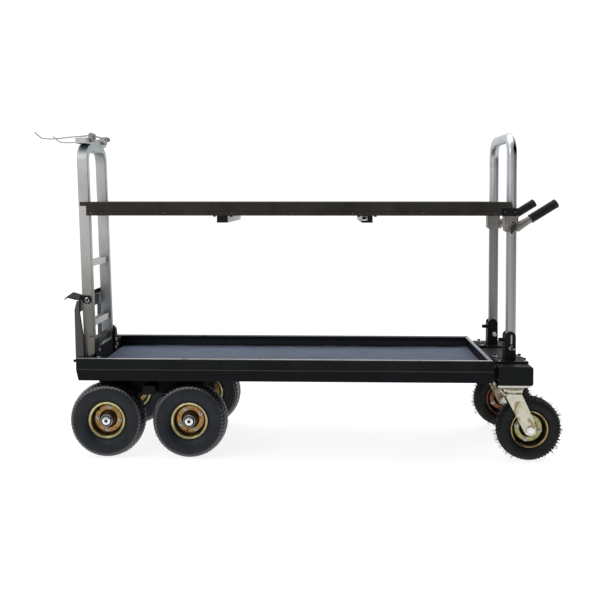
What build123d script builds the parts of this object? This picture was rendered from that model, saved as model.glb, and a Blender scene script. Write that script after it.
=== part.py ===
"""Equipment cart: carpeted deck on six wheels, lift-off top shelf, ladder end and fold-down push handle.

Frame: millimetres, +Z up, floor at Z 0.  X runs along the cart, the push handle is at +X and the
ladder end at -X.  Y runs across it, "near" is -Y and "far" is +Y.  Each sub-part is one STEP file.
"""
import math
import os

from build123d import *

os.makedirs("parts", exist_ok=True)

# ---------------------------------------------------------------- driving dimensions (mm)
NEAR, FAR = -1, 1
SIDES = (NEAR, FAR)
SIDE_NAMES = {NEAR: "near", FAR: "far"}

# deck tray
DECK_X0, DECK_X1 = -721.5, 672.0
DECK_HALF_W = 260.0
DECK_TOP, DECK_STEP, DECK_BOTTOM = 339.0, 304.0, 267.0
SHEET = 3.0
RIM_FLANGE = 23.0
LEDGE = 30.0
LEDGE_TOP = 291.0
FLOOR_T = 2.0
CARPET_T = 8.0
LEFT_WALL_X = -689.5

# end beam and casters
BEAM_X0, BEAM_X1 = 690.0, 803.0
BEAM_Z0, BEAM_Z1 = 259.0, 322.0
CASTER_X, CASTER_Y = 747.0, 213.8
CASTER_TRAIL = 50.0
CASTER_R, CASTER_W = 108.5, 65.0
CASTER_PLATE_T = 6.0
FORK_INNER, FORK_T = 35.5, 4.0

# rear wheels
REAR_R, REAR_W = 127.5, 85.0
REAR_XS = (-624.4, -343.3)
REAR_Y = 210.0
AXLE_R = 8.0
REAR_HUB_HALF = 34.0
HUB_END_Y = REAR_Y + REAR_HUB_HALF + 0.5
RIM_R = 62.5
CARRIER_Y = 158.0

# push handle
POST_X, POST_Y = 750.0, 151.7
POST_R, POST_WALL = 17.5, 2.0
POST_JOINT_Z = 995.0
HANDLE_TOP_Z = 1106.0
HANDLE_BEND = 60.0
PIVOT_Z = 368.0
PLATE_T = 6.0
SOCKET_TOP = 425.0
PLUNGER_Z = 395.0
COLLAR_Z0, COLLAR_Z1 = 765.0, 819.2
GRIP_END_X, GRIP_END_Z = 903.0, 864.0
GRIP_ANGLE, GRIP_LEN, GRIP_R = 32.0, 105.0, 16.0
ARM_R, ARM_LEN = 12.5, 160.0
KNOB_Z = 777.0

# ladder end
LADDER_X, LADDER_BASE_Z = -712.0, 339.0
LADDER_LEAN = math.degrees(math.atan(0.03125))
LADDER_HALF_W = 131.0
LADDER_SX, LADDER_SY = 38.0, 25.0
LADDER_TOP = 1071.0
LADDER_BEND = 47.0
RUNGS = ((353.0, 379.0), (426.0, 448.0), (638.0, 660.0), (838.0, 860.0))
LATCH_X, LATCH_Z = -717.0, 524.0
TOE_X, TOE_Z = -738.0, 305.0
HOOK_X, HOOK_Z = -706.0, 1100.0
HOOK_Y = 100.0

# top shelf
SHELF_X0, SHELF_X1 = -696.0, 704.0
SHELF_HALF_W = 215.0
SHELF_Z0, SHELF_Z1 = 820.5, 867.5
SHELF_FLOOR_Z = 845.0
CROSS_RAILS = ((-251.0, -214.0), (237.0, 274.0))
CROSS_RAIL_Z0 = 797.0


# ---------------------------------------------------------------- small helpers
def box(x0, x1, y0, y1, z0, z1):
    """Axis-aligned block between two corners."""
    centre = Pos((x0 + x1) / 2, (y0 + y1) / 2, (z0 + z1) / 2)
    return centre * Box(abs(x1 - x0), abs(y1 - y0), abs(z1 - z0))


def rod_x(x0, x1, y, z, radius):
    return Pos((x0 + x1) / 2, y, z) * Rot(0, 90, 0) * Cylinder(radius, abs(x1 - x0))


def rod_y(x, y0, y1, z, radius):
    return Pos(x, (y0 + y1) / 2, z) * Rot(90, 0, 0) * Cylinder(radius, abs(y1 - y0))


def rod_z(x, y, z0, z1, radius):
    return Pos(x, y, (z0 + z1) / 2) * Cylinder(radius, abs(z1 - z0))


def plate_y(points, y0, y1):
    """Flat plate with an outline in X and Z, extruded along Y."""
    low, high = min(y0, y1), max(y0, y1)
    face = Plane.XZ.offset(-high) * make_face(Polyline(*points, close=True))
    return extrude(face, amount=high - low, dir=(0, -1, 0))


def plate_x(points, x0, x1):
    """Flat plate with an outline in Y and Z, extruded along X."""
    face = Plane.YZ.offset(x0) * make_face(Polyline(*points, close=True))
    return extrude(face, amount=x1 - x0, dir=(1, 0, 0))


def plate_z(points, z0, z1):
    """Flat plate with an outline in X and Y, extruded along Z."""
    face = Pos(0, 0, z0) * make_face(Polyline(*points, close=True))
    return extrude(face, amount=z1 - z0, dir=(0, 0, 1))


def hex_y(x, y0, y1, z, across):
    """Hexagonal head or nut with its axis along Y."""
    prism = extrude(RegularPolygon(across / 2, 6, major_radius=False), amount=abs(y1 - y0) / 2, both=True)
    return Pos(x, (y0 + y1) / 2, z) * Rot(90, 0, 0) * prism


def hex_z(x, y, z0, z1, across):
    prism = extrude(RegularPolygon(across / 2, 6, major_radius=False), amount=z1 - z0)
    return Pos(x, y, z0) * prism


def tube_along(points, bend, outer, wall=0.0):
    """Round tube or rod that follows straight runs joined by arcs."""
    path = FilletPolyline(*points, radius=bend)
    start = Plane(path @ 0, z_dir=path % 0)
    body = sweep(start * Circle(outer), path=path)
    if wall:
        body -= sweep(start * Circle(outer - wall), path=path)
    return body


def mirrored(part):
    """The same piece on the far side of the cart."""
    return mirror(part, about=Plane.XZ)


def on_side(part_near, side):
    return part_near if side == NEAR else mirrored(part_near)


def both(part_near):
    return [part_near, mirrored(part_near)]


def leaning(part):
    """Turns a piece built upright on the ladder's foot line by the ladder's outward lean."""
    foot = Pos(LADDER_X, 0, LADDER_BASE_Z)
    return foot * Rot(0, -LADDER_LEAN, 0) * foot.inverse() * part


def ladder_x(z):
    """Centre line of the leaning ladder rails at height z."""
    return LADDER_X - math.tan(math.radians(LADDER_LEAN)) * (z - LADDER_BASE_Z)


def save(name, solids):
    """Writes one node: a single solid, or a group of separate solids."""
    pieces = solids if isinstance(solids, list) else [solids]
    flat = []
    for piece in pieces:
        flat.extend(piece.solids())
    export_step(flat[0] if len(flat) == 1 else Compound(flat), f"parts/{name}.step")


# ---------------------------------------------------------------- deck tray
def side_rail():
    """Folded rail: rim flange, outer web with a shallow step, floor ledge and bottom flange."""
    w = DECK_HALF_W
    step = 1.5
    section = [
        (-w, DECK_STEP), (-w, DECK_TOP), (-w + RIM_FLANGE, DECK_TOP), (-w + RIM_FLANGE, DECK_TOP - SHEET),
        (-w + SHEET, DECK_TOP - SHEET), (-w + SHEET, LEDGE_TOP), (-w + LEDGE, LEDGE_TOP),
        (-w + LEDGE, LEDGE_TOP - SHEET), (-w + SHEET + step, LEDGE_TOP - SHEET),
        (-w + SHEET + step, DECK_BOTTOM + SHEET), (-w + 20, DECK_BOTTOM + SHEET), (-w + 20, DECK_BOTTOM),
        (-w + step, DECK_BOTTOM), (-w + step, DECK_STEP),
    ]
    rail = plate_x(section, DECK_X0, DECK_X1)
    slant = [
        (DECK_X0 - 1, DECK_STEP - 4), (DECK_X0, DECK_STEP - 4), (DECK_X0 + 8, DECK_BOTTOM - 1),
        (DECK_X0 - 1, DECK_BOTTOM - 1),
    ]
    return rail - plate_y(slant, -w - 1, -w + LEDGE + 1)


def tray_end_walls():
    """Right wall with its bare top flange, and the recessed left wall that carries the ladder."""
    rim = DECK_HALF_W - RIM_FLANGE - 0.1
    inner = DECK_HALF_W - LEDGE - 0.1
    right = box(DECK_X1 - SHEET, DECK_X1, -inner, inner, DECK_BOTTOM, DECK_TOP)
    right += box(DECK_X1 - 12, DECK_X1, -rim, rim, DECK_TOP - SHEET, DECK_TOP)
    left = box(LEFT_WALL_X, LEFT_WALL_X + SHEET, -inner, inner, DECK_BOTTOM + 3, DECK_TOP)
    left += box(LEFT_WALL_X, LEFT_WALL_X + SHEET, -104, 104, DECK_TOP, 352.5)
    reach = DECK_HALF_W - SHEET - 0.1
    z0, z1 = LEDGE_TOP + 0.1, DECK_TOP - SHEET - 0.1
    right += box(DECK_X1 - SHEET, DECK_X1, -reach, reach, z0, z1)
    left += box(LEFT_WALL_X, LEFT_WALL_X + SHEET, -reach, reach, z0, z1)
    return [right, left]


def tray_floor():
    return box(LEFT_WALL_X + SHEET, DECK_X1 - SHEET, -256.5, 256.5, LEDGE_TOP, LEDGE_TOP + FLOOR_T)


def tray_carpet():
    floor_z = LEDGE_TOP + FLOOR_T
    left_edge = LEFT_WALL_X + SHEET + 5
    return box(left_edge, DECK_X1 - SHEET - 1, -255.5, 255.5, floor_z, floor_z + CARPET_T)


def cross_members():
    """Box sections that carry the floor between the side rails."""
    xs = (-640.0, -484.0, -328.0, -20.0, 290.0, 600.0)
    solids = []
    for x in xs:
        outer = box(x - 20, x + 20, -255, 255, DECK_BOTTOM + SHEET, LEDGE_TOP - SHEET)
        inner = box(x - 17.5, x + 17.5, -256, 256, DECK_BOTTOM + SHEET + 2.5, LEDGE_TOP - SHEET - 2.5)
        solids.append(outer - inner)
    return solids


def end_beam():
    """Hollow cross beam with rounded long edges and closed ends."""
    beam = box(BEAM_X0, BEAM_X1, -DECK_HALF_W, DECK_HALF_W, BEAM_Z0, BEAM_Z1)
    beam = fillet(beam.edges().filter_by(Axis.Y), 7)
    return beam - box(BEAM_X0 + 4, BEAM_X1 - 4, -DECK_HALF_W + 4, DECK_HALF_W - 4, BEAM_Z0 + 4, BEAM_Z1 - 4)


def beam_spacers():
    near = box(DECK_X1, BEAM_X0, -229, -100, 275, 314)
    return both(near)


# ---------------------------------------------------------------- rear running gear
def axle_carrier():
    """Welded carrier under the deck: two top plates, two hanger plates and three cross tubes."""
    x_mid = sum(REAR_XS) / 2
    half = 186.0
    top, under = DECK_BOTTOM + SHEET, DECK_BOTTOM - 2.0
    lobe = 21.0
    front, back = REAR_XS
    low = REAR_R - lobe
    outline = [
        (x_mid - half, under), (x_mid - half, 232), (front - lobe, low), (front + lobe, low),
        (front + 66, 205), (back - 66, 205), (back - lobe, low), (back + lobe, low),
        (x_mid + half, 232), (x_mid + half, under),
    ]
    carrier = None
    for side in SIDES:
        hanger = plate_y(outline, side * CARRIER_Y, side * (CARRIER_Y + 5))
        plate = box(x_mid - half, x_mid + half, side * 135, side * 225, under, top)
        piece = hanger + plate
        carrier = piece if carrier is None else carrier + piece
    for x, z0, z1, reach in ((x_mid, 212, 242, 222), (x_mid - 160, 236, 262, CARRIER_Y),
                             (x_mid + 160, 236, 262, CARRIER_Y)):
        carrier += box(x - 20, x + 20, -reach, reach, z0, z1)
        carrier -= box(x - 17, x + 17, -CARRIER_Y + 1, CARRIER_Y - 1, z0 + 3, z1 - 3)
    for x in REAR_XS:
        carrier -= rod_y(x, -170, 170, REAR_R, AXLE_R)
    return carrier


def rear_axles():
    """Two through axles with shoulders between the hangers and the hubs."""
    shoulder_y = REAR_Y - REAR_HUB_HALF - 0.5
    solids = []
    for x in REAR_XS:
        axle = rod_y(x, -HUB_END_Y, HUB_END_Y, REAR_R, AXLE_R)
        for side in SIDES:
            axle += rod_y(x, side * (CARRIER_Y + 5), side * shoulder_y, REAR_R, 12)
        solids.append(axle)
    return solids


def axle_end_bolts():
    solids = []
    for x in REAR_XS:
        for side in SIDES:
            cap = rod_y(x, side * HUB_END_Y, side * (HUB_END_Y + 4), REAR_R, 13)
            solids.append(cap - hex_y(x, side * (HUB_END_Y + 1), side * (HUB_END_Y + 4), REAR_R, 9))
    return solids


def revolved(points_and_arcs):
    """Ring about the Y axis from a closed outline whose first coordinate is the radius."""
    return revolve(make_face(points_and_arcs), axis=Axis.Y)


def tyre(radius, width, bead_r, bead_half):
    """Hollow pneumatic tyre, wheel centre at the origin, axle along Y."""
    half = width / 2
    wall_r = (radius + bead_r) / 2
    shoulder_r, shoulder = radius - 8, half - 6
    cavity_r = radius - 12
    lip_r = RIM_R + 1.5
    outline = (
        Line((bead_r, -bead_half), (lip_r, -bead_half))
        + ThreePointArc((lip_r, -bead_half), (wall_r, -half), (shoulder_r, -shoulder))
        + ThreePointArc((shoulder_r, -shoulder), (radius, 0), (shoulder_r, shoulder))
        + ThreePointArc((shoulder_r, shoulder), (wall_r, half), (lip_r, bead_half))
        + Line((lip_r, bead_half), (bead_r, bead_half))
        + Line((bead_r, bead_half), (bead_r, bead_half - 7))
        + ThreePointArc((bead_r, bead_half - 7), (cavity_r, 0), (bead_r, -bead_half + 7))
        + Line((bead_r, -bead_half + 7), (bead_r, -bead_half))
    )
    return revolved(outline)


def rim_half(bead_half, hub_r, side):
    """One pressed rim half: rolled lip, bead seat, bowl and a disc that meets its twin at Y 0."""
    lip, seat, t = RIM_R, 59.8, 2.5
    edge = bead_half + 0.3 + t
    dish = 9.0
    points = [
        (lip, edge), (lip, edge - t), (seat, edge - t), (seat, 0), (hub_r, 0), (hub_r, dish),
        (hub_r + 11, dish), (hub_r + 17, t), (seat - t - 6, t), (seat - t, t + 5),
        (seat - t, edge - 1),
    ]
    outline = Polyline(*[(r, side * y) for r, y in points], close=True)
    holes = [Rot(0, 45 + 90 * k, 0) * rod_y(39, -20, 20, 0, 3.2) for k in range(4)]
    half = revolved(outline)
    for hole in holes:
        half -= hole
    return half


def wheel_core(bead_half, hub_r, hub_half, bore_r):
    """Rim halves, their four bolts, the hub barrel and its two ball bearings, as separate solids."""
    solids = [rim_half(bead_half, hub_r, side) for side in SIDES]
    for k in range(4):
        bolt = rod_y(39, -7, 8, 0, 3) + hex_y(39, -7, -2.5, 0, 11) + hex_y(39, 2.5, 7, 0, 10)
        solids.append(Rot(0, 45 + 90 * k, 0) * bolt)
    bearing_w, bearing_r = 10.0, hub_r - 2.5
    barrel = rod_y(0, -hub_half, hub_half, 0, hub_r) - rod_y(0, -hub_half, hub_half, 0, bore_r + 2)
    for side in SIDES:
        seat_y0, seat_y1 = side * (hub_half - bearing_w), side * hub_half
        barrel -= rod_y(0, seat_y0, seat_y1, 0, bearing_r)
        solids.append(rod_y(0, seat_y0, seat_y1, 0, bearing_r) - rod_y(0, seat_y0, seat_y1, 0, bore_r))
    solids.append(barrel)
    return solids


# ---------------------------------------------------------------- casters
def caster_plate():
    """Mounting plate under the beam with its inner end bent up beside the deck."""
    y0, y1 = -DECK_HALF_W + 2, -CASTER_Y + 56
    z0, z1 = BEAM_Z0 - CASTER_PLATE_T, BEAM_Z0
    plate = box(682, 796, y0, y1, z0, z1) + box(679, 683, y0, y1, z0 + 1, z1 + 9)
    return plate


def caster_kingpin():
    """Upper race with the kingpin and its nut, riveted to the plate."""
    z1 = BEAM_Z0 - CASTER_PLATE_T
    pin = rod_z(CASTER_X, -CASTER_Y, z1 - 12, z1, 35.5) + rod_z(CASTER_X, -CASTER_Y, 219.5, z1, 7)
    return pin + hex_z(CASTER_X, -CASTER_Y, 219.5, 224.5, 22)


def caster_fork():
    """Lower race, crown and two slanted side plates, pressed and welded as one piece."""
    axle_x, axle_z = CASTER_X + CASTER_TRAIL, CASTER_R
    race = rod_z(CASTER_X, -CASTER_Y, 229, 240, 31)
    outer = FORK_INNER + FORK_T
    crown = box(711, 768, -CASTER_Y - outer, -CASTER_Y + outer, 225, 229)
    outline = [
        (711, 229), (768, 229), (axle_x + 21, axle_z + 12), (axle_x + 15, axle_z - 12),
        (axle_x, axle_z - 19), (axle_x - 15, axle_z - 14), (axle_x - 24, axle_z),
    ]
    fork = race + crown
    for side in SIDES:
        fork += plate_y(outline, -CASTER_Y + side * FORK_INNER, -CASTER_Y + side * outer)
    fork -= rod_z(CASTER_X, -CASTER_Y, 224, 241, 7.1)
    return fork - rod_y(axle_x, -CASTER_Y - 60, -CASTER_Y + 60, axle_z, 6)


def caster_axle():
    axle_x, axle_z = CASTER_X + CASTER_TRAIL, CASTER_R
    outer = FORK_INNER + FORK_T
    bolt = rod_y(axle_x, -CASTER_Y - outer, -CASTER_Y + outer, axle_z, 6)
    for side in SIDES:
        bolt += hex_y(axle_x, -CASTER_Y + side * outer, -CASTER_Y + side * (outer + 6.5), axle_z, 24)
    return bolt


# ---------------------------------------------------------------- push handle and its sockets
def socket_plate():
    return box(BEAM_X0 + 2, BEAM_X1 - 2, -POST_Y - 50, -POST_Y + 50, BEAM_Z1, BEAM_Z1 + PLATE_T)


def socket_bracket():
    """U bracket, closed towards the deck and open outward, so the handle folds away from the deck."""
    z0 = BEAM_Z1 + PLATE_T
    inner, outer = POST_R + 0.8, POST_R + 3.8
    back, front = POST_X - 23.5, POST_X + 14
    ear = box(back, front, -POST_Y - outer, -POST_Y - inner, z0, SOCKET_TOP)
    ear = fillet(ear.edges().filter_by(Axis.Y).sort_by(Axis.Z)[-2:], 18)
    slot = box(POST_X - 4, POST_X + 4, -POST_Y - outer - 1, -POST_Y, 381, 414)
    ear -= slot
    other = box(back, front, -POST_Y + inner, -POST_Y + outer, z0, SOCKET_TOP)
    other = fillet(other.edges().filter_by(Axis.Y).sort_by(Axis.Z)[-2:], 18)
    web = box(back, back + 5, -POST_Y - outer, -POST_Y + outer, z0, 412)
    bracket = ear + other + web
    bracket -= rod_y(POST_X, -POST_Y - 30, -POST_Y + 30, PIVOT_Z, 5)
    return bracket - rod_x(back - 3, back + 7, -POST_Y, PLUNGER_Z, 3.05)


def socket_bolts():
    """Studs with nuts and caps at the corners of each socket plate."""
    z0 = BEAM_Z1 + PLATE_T
    solids = []
    for x in (704.0, 789.0):
        for dy in (-38.0, 38.0):
            y = -POST_Y + dy
            stud = hex_z(x, y, z0, z0 + 5, 13) + rod_z(x, y, z0 + 5, z0 + 12, 5.5)
            solids.extend(both(stud))
    return solids


def pivot_bolts():
    """Handle pivot bolts in the sockets and latch pivot bolts on the ladder rails."""
    y0, y1 = -POST_Y - POST_R - 3.8, -POST_Y + POST_R + 3.8
    handle_bolt = rod_y(POST_X, y0, y1, PIVOT_Z, 5)
    handle_bolt += rod_y(POST_X, y0 - 4, y0, PIVOT_Z, 10) + hex_y(POST_X, y1, y1 + 6, PIVOT_Z, 16)
    latch_bolt = rod_y(LATCH_X, -137, -LADDER_HALF_W, LATCH_Z, 5) + rod_y(LATCH_X, -141, -137, LATCH_Z, 9)
    return both(handle_bolt) + both(latch_bolt)


def plunger_barrel():
    x0, x1 = POST_X - 31, POST_X - 23.5
    return rod_x(x0, x1, -POST_Y, PLUNGER_Z, 6.5) - rod_x(x0, x1, -POST_Y, PLUNGER_Z, 3.05)


def plunger():
    """Spring plunger: pin and pull knob.  Its tip stops just short of the post."""
    x0 = POST_X - 41
    return rod_x(x0, POST_X - 17.9, -POST_Y, PLUNGER_Z, 3) + rod_x(x0, x0 + 9.5, -POST_Y, PLUNGER_Z, 6.5)


def post():
    """Straight tube with a rounded foot that turns on the pivot bolt."""
    outer = rod_z(POST_X, -POST_Y, PIVOT_Z, POST_JOINT_Z, POST_R)
    foot = rod_z(POST_X, -POST_Y, PIVOT_Z - POST_R, PIVOT_Z, POST_R)
    foot &= rod_y(POST_X, -POST_Y - POST_R, -POST_Y + POST_R, PIVOT_Z, POST_R)
    tube = outer + foot
    tube -= rod_z(POST_X, -POST_Y, PIVOT_Z + 12, POST_JOINT_Z, POST_R - POST_WALL)
    return tube - rod_y(POST_X, -POST_Y - 30, -POST_Y + 30, PIVOT_Z, 5.06)


def handle_loop():
    top = HANDLE_TOP_Z - POST_R
    points = [
        (POST_X, -POST_Y, POST_JOINT_Z), (POST_X, -POST_Y, top), (POST_X, POST_Y, top),
        (POST_X, POST_Y, POST_JOINT_Z),
    ]
    return tube_along(points, HANDLE_BEND, POST_R, POST_WALL)


def grip_frame(distance):
    """Location on the grip's axis, `distance` back from its end, with +Z along the axis."""
    angle = math.radians(GRIP_ANGLE)
    x = GRIP_END_X - distance * math.cos(angle)
    z = GRIP_END_Z - distance * math.sin(angle)
    return Pos(x, -POST_Y, z) * Rot(0, 90 - GRIP_ANGLE, 0)


def collar():
    """Cast slider on the post: body, top flange, tapered foot and the arm for the grip."""
    back, front, half_y = POST_X - 26.25, POST_X + 20, 24.0
    z0, z1 = COLLAR_Z0, COLLAR_Z1
    body = box(back, front, -POST_Y - half_y, -POST_Y + half_y, z0, z1 - 4)
    body = fillet(body.edges().filter_by(Axis.Z), 9)
    body = chamfer(body.edges().group_by(Axis.Z)[0], 6)
    flange = box(back - 1.75, front + 2, -POST_Y - 26, -POST_Y + 26, z1 - 4, z1)
    flange = fillet(flange.edges().filter_by(Axis.Z), 9)
    arm = grip_frame(10 + ARM_LEN / 2) * Cylinder(ARM_R, ARM_LEN)
    root = grip_frame(140) * Cone(16, ARM_R, 44)
    casting = body + flange + arm + root
    casting -= rod_z(POST_X, -POST_Y, z0 - 5, z1 + 5, POST_R + 0.1)
    screw_y = -POST_Y - half_y
    casting -= rod_y(POST_X, screw_y - 1, -POST_Y, KNOB_Z, 4.06)
    return casting - rod_y(POST_X + 1, screw_y - 1, screw_y + 5, COLLAR_Z1 - 21, 3)


def grip():
    """Rubber sleeve closed at its outer end."""
    sleeve = grip_frame(GRIP_LEN / 2) * Cylinder(GRIP_R, GRIP_LEN)
    bore_len = GRIP_LEN - 10
    return sleeve - grip_frame(10 + bore_len / 2) * Cylinder(ARM_R, bore_len)


def clamp_knob():
    """Wing knob and screw.  The screw's tip stops just short of the post."""
    face = -POST_Y - 24.0
    screw = rod_y(POST_X, face - 9, -POST_Y - POST_R - 0.4, KNOB_Z, 4)
    wing = Pos(POST_X, face - 13, KNOB_Z) * Rot(0, -62, 0) * Box(38, 9, 13)
    hub = rod_y(POST_X, face - 17, face - 4, KNOB_Z, 7)
    return screw + wing + hub


# ---------------------------------------------------------------- ladder end
def ladder_frame():
    """Bent rectangular tube, an upside-down U that leans outward."""
    y = LADDER_HALF_W - LADDER_SY / 2
    foot_z = DECK_BOTTOM + 3
    top = LADDER_TOP - LADDER_SY / 2
    path = FilletPolyline(
        (LADDER_X, -y, foot_z), (LADDER_X, -y, top), (LADDER_X, y, top), (LADDER_X, y, foot_z),
        radius=LADDER_BEND,
    )
    start = Plane((LADDER_X, -y, foot_z), x_dir=(1, 0, 0), z_dir=(0, 0, 1))
    wall = 2.5
    outer = sweep(start * RectangleRounded(LADDER_SX, LADDER_SY, 3), path=path)
    inner = sweep(start * Rectangle(LADDER_SX - 2 * wall, LADDER_SY - 2 * wall), path=path)
    frame = leaning(outer - inner)
    return frame


def ladder_rungs():
    """Hollow rungs between the rails, the lowest one is taller, the highest one carries the shelf."""
    reach = LADDER_HALF_W - LADDER_SY
    solids = []
    for z0, z1 in RUNGS:
        x = ladder_x((z0 + z1) / 2)
        outer = box(x - 11, x + 11, -reach, reach, z0, z1)
        solids.append(outer - box(x - 8.5, x + 8.5, -reach, reach, z0 + 2.5, z1 - 2.5))
    return solids


def ladder_foot():
    """Clamp channel on the outer face of a ladder rail, bolted at the end wall."""
    y0 = -LADDER_HALF_W
    block = box(LADDER_X, LEFT_WALL_X, y0 - 13, y0, 319, 394)
    block -= box(LADDER_X + 3, LEFT_WALL_X - 3, y0 - 10, y0, 316, 391)
    return block - rod_y(LADDER_X + 11.5, y0 - 14, y0 - 9, 328, 4.5)


def ladder_gusset():
    """Plate inside the tray that ties the rail to the end wall."""
    x0 = LEFT_WALL_X + SHEET
    outline = [(-152, 302), (-104, 302), (-104, 352), (-122, 388), (-134, 388), (-152, 345)]
    return plate_x(outline, x0, x0 + 4)


def frame_bolts():
    """Bolts of the gussets and the stub bolts at the open ends of the side rails."""
    x0 = LEFT_WALL_X + SHEET + 4
    solids = []
    for y, z in ((-118.0, 345.0), (-140.0, 322.0), (-114.0, 315.0)):
        head = rod_x(x0, x0 + 4, y, z, 6)
        solids.extend(both(head))
    stub = rod_x(DECK_X0 - 9, DECK_X0, -DECK_HALF_W + 1.5 + 4, 333, 4.5)
    bar = box(DECK_X0 - 0.5, DECK_X0, -DECK_HALF_W + 1, -DECK_HALF_W + 12, 327, 339)
    solids.extend(both(stub + bar))
    return solids


def hook_plate():
    """Capping pan on the ladder arch with two pairs of ears for the hook rod."""
    x0, x1 = LADDER_X - 19.5, LADDER_X + 17.5
    z0, z1 = LADDER_TOP, 1091.0
    pan = box(x0, x1, -135, 135, z0, z1) - box(x0 + 3, x1 - 3, -132, 132, z0 - 1, z1 - 3)
    pan = leaning(pan)
    for side in SIDES:
        ear = box(HOOK_X - 20, HOOK_X + 7, side * 74, side * 79, 1078, 1107)
        ear = fillet(ear.edges().filter_by(Axis.Y).sort_by(Axis.Z)[-2:], 6)
        pan += ear
    return pan - rod_y(HOOK_X, -90, 90, HOOK_Z, 3.06)


def hook_rack():
    """Hook rod with collars and two wire hooks that lie over the capping pan."""
    rack = rod_y(HOOK_X, -118, 118, HOOK_Z, 3)
    tip_x, tip_z = -909.8, 1111.5
    route = [(HOOK_X - 4, HOOK_Z), (-762, 1096.5), (-846, 1088), (-884, 1090), (tip_x, tip_z)]
    for side in SIDES:
        for y in (85.0, 109.0):
            rack += rod_y(HOOK_X, side * y, side * (y + 6), HOOK_Z, 9)
        rack += rod_y(HOOK_X, side * 91, side * 109, HOOK_Z, 6)
        points = [(x, side * HOOK_Y, z) for x, z in route]
        rack += tube_along(points, 22.0, 2.3)
    return rack


def latch_bail():
    """Sheet bail: an arm on each rail, a web across the ladder's outer face and a sloped foot pedal."""
    web_x = LATCH_X - 28
    web = box(web_x, web_x + 3, -136, 136, 523, 540)
    outline = [
        (14, 517), (14, 531), (7, 538), (-26, 540), (-26, 523), (-21, 523), (-13, 513), (4, 510),
    ]
    bail = web
    for side in SIDES:
        arm = plate_y([(LATCH_X + dx, z) for dx, z in outline], side * 133, side * 136)
        bail += arm - rod_y(LATCH_X, side * 130, side * 140, LATCH_Z, 5.06)
    profile = [
        (web_x + 1, 523), (-757, 523), (-789, 531.5), (-797, 523.5), (-799, 525.6), (-789.5, 535.2),
        (-757, 526), (web_x + 1, 526),
    ]
    hinge = Pos(0, -136, 523)
    return bail + hinge * Rot(5.9, 0, 0) * hinge.inverse() * plate_y(profile, -136, -58)


def toe_frame():
    """Folding toe frame: two tapered legs, a cross bar and the pivot eyes."""
    r = 13.0
    bar = [(-742, 482), (-742, 521), (-751, 521), (-758.5, 491), (-758.3, 482)]
    outline = [
        (TOE_X - r, TOE_Z - 4), (TOE_X - 5, TOE_Z - r), (TOE_X + 5, TOE_Z - r), (TOE_X + r, TOE_Z - 4),
        (TOE_X + r, TOE_Z + 5), (-726, 318), (-729, 396),
    ] + bar + [(-755, 313)]
    toe = plate_y(bar, -150, 150)
    for side in SIDES:
        toe += plate_y(outline, side * 138, side * 150)
    return toe - rod_y(TOE_X, -151, 151, TOE_Z, 5.06)


def toe_brackets():
    """Plates on the end wall that carry the toe frame, each with its pin."""
    wall = LEFT_WALL_X
    near = box(-753, wall, -155, -151, 285, 327)
    near = chamfer(near.edges().filter_by(Axis.Y).group_by(Axis.X)[0], 9)
    near += box(wall - 4, wall, -185, -151, 285, 327)
    near -= rod_y(TOE_X, -156, -150, TOE_Z, 5)
    pin = rod_y(TOE_X, -155, -137, TOE_Z, 5) + rod_y(TOE_X, -159, -155, TOE_Z, 8)
    return both(near) + both(pin)


# ---------------------------------------------------------------- top shelf
def shelf_side_rail():
    """Folded rail: flat top flange, web with one groove and a bottom flange."""
    w = SHELF_HALF_W
    z0, z1 = SHELF_Z0, SHELF_Z1
    groove = 835.0
    section = [
        (-w, z0), (-w, groove - 1), (-w + 1.2, groove - 1), (-w + 1.2, groove + 1), (-w, groove + 1),
        (-w, z1), (-w + 18, z1), (-w + 18, z1 - 2.5), (-w + 3.5, z1 - 2.5), (-w + 3.5, SHELF_FLOOR_Z),
        (-w + 20, SHELF_FLOOR_Z), (-w + 20, SHELF_FLOOR_Z - 2.5), (-w + 3.5, SHELF_FLOOR_Z - 2.5),
        (-w + 3.5, z0 + 2.5), (-w + 24, z0 + 2.5), (-w + 24, z0),
    ]
    return plate_x(section, SHELF_X0, SHELF_X1)


def shelf_ends():
    """End walls: the left one hooks over the top rung, the right one stands behind the posts."""
    reach = SHELF_HALF_W - 24.1
    left = box(SHELF_X0, SHELF_X0 + 3, -reach, reach, SHELF_Z0, SHELF_Z1 - 3)
    left += box(-708, SHELF_X0, -SHELF_HALF_W, SHELF_HALF_W, 853, SHELF_Z1)
    rung_top = RUNGS[-1][1]
    left += box(-744, -707, -100, 100, rung_top + 1, rung_top + 4)
    left += box(-744, -741, -100, 100, rung_top - 14, rung_top + 4)
    right = box(SHELF_X1, 727, -SHELF_HALF_W, SHELF_HALF_W, 846, SHELF_Z1)
    for side in SIDES:
        left += box(-718, -707, side * 135, side * SHELF_HALF_W, 853, SHELF_Z1)
        tab = [(726, 846), (740, 846), (740, SHELF_Z1 - 9), (737, SHELF_Z1 - 3), (731, SHELF_Z1), (726, SHELF_Z1)]
        right += plate_y(tab, side * 175, side * SHELF_HALF_W)
    right -= box(SHELF_X1 + 4, 724, -SHELF_HALF_W + 4, SHELF_HALF_W - 4, 840, SHELF_Z1 - 3)
    return [left, right]


def shelf_post_clamp():
    """Fork block under the shelf end: it straddles the post and sits above the slider."""
    x0, x1 = SHELF_X1, POST_X + 12
    block = box(x0, x1, -212, -126, SHELF_Z0, 846)
    slot_half = POST_R + 1.0
    block -= box(POST_X - 18.7, x1 + 1, -POST_Y - slot_half, -POST_Y + slot_half, SHELF_Z0 - 1, 847)
    return chamfer(block.edges().filter_by(Axis.Z).sort_by(Axis.Y)[:2], 3)


def shelf_panel():
    reach = SHELF_HALF_W - 4
    return box(SHELF_X0 + 3, SHELF_X1, -reach, reach, SHELF_FLOOR_Z, SHELF_FLOOR_Z + 2.5)


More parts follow.
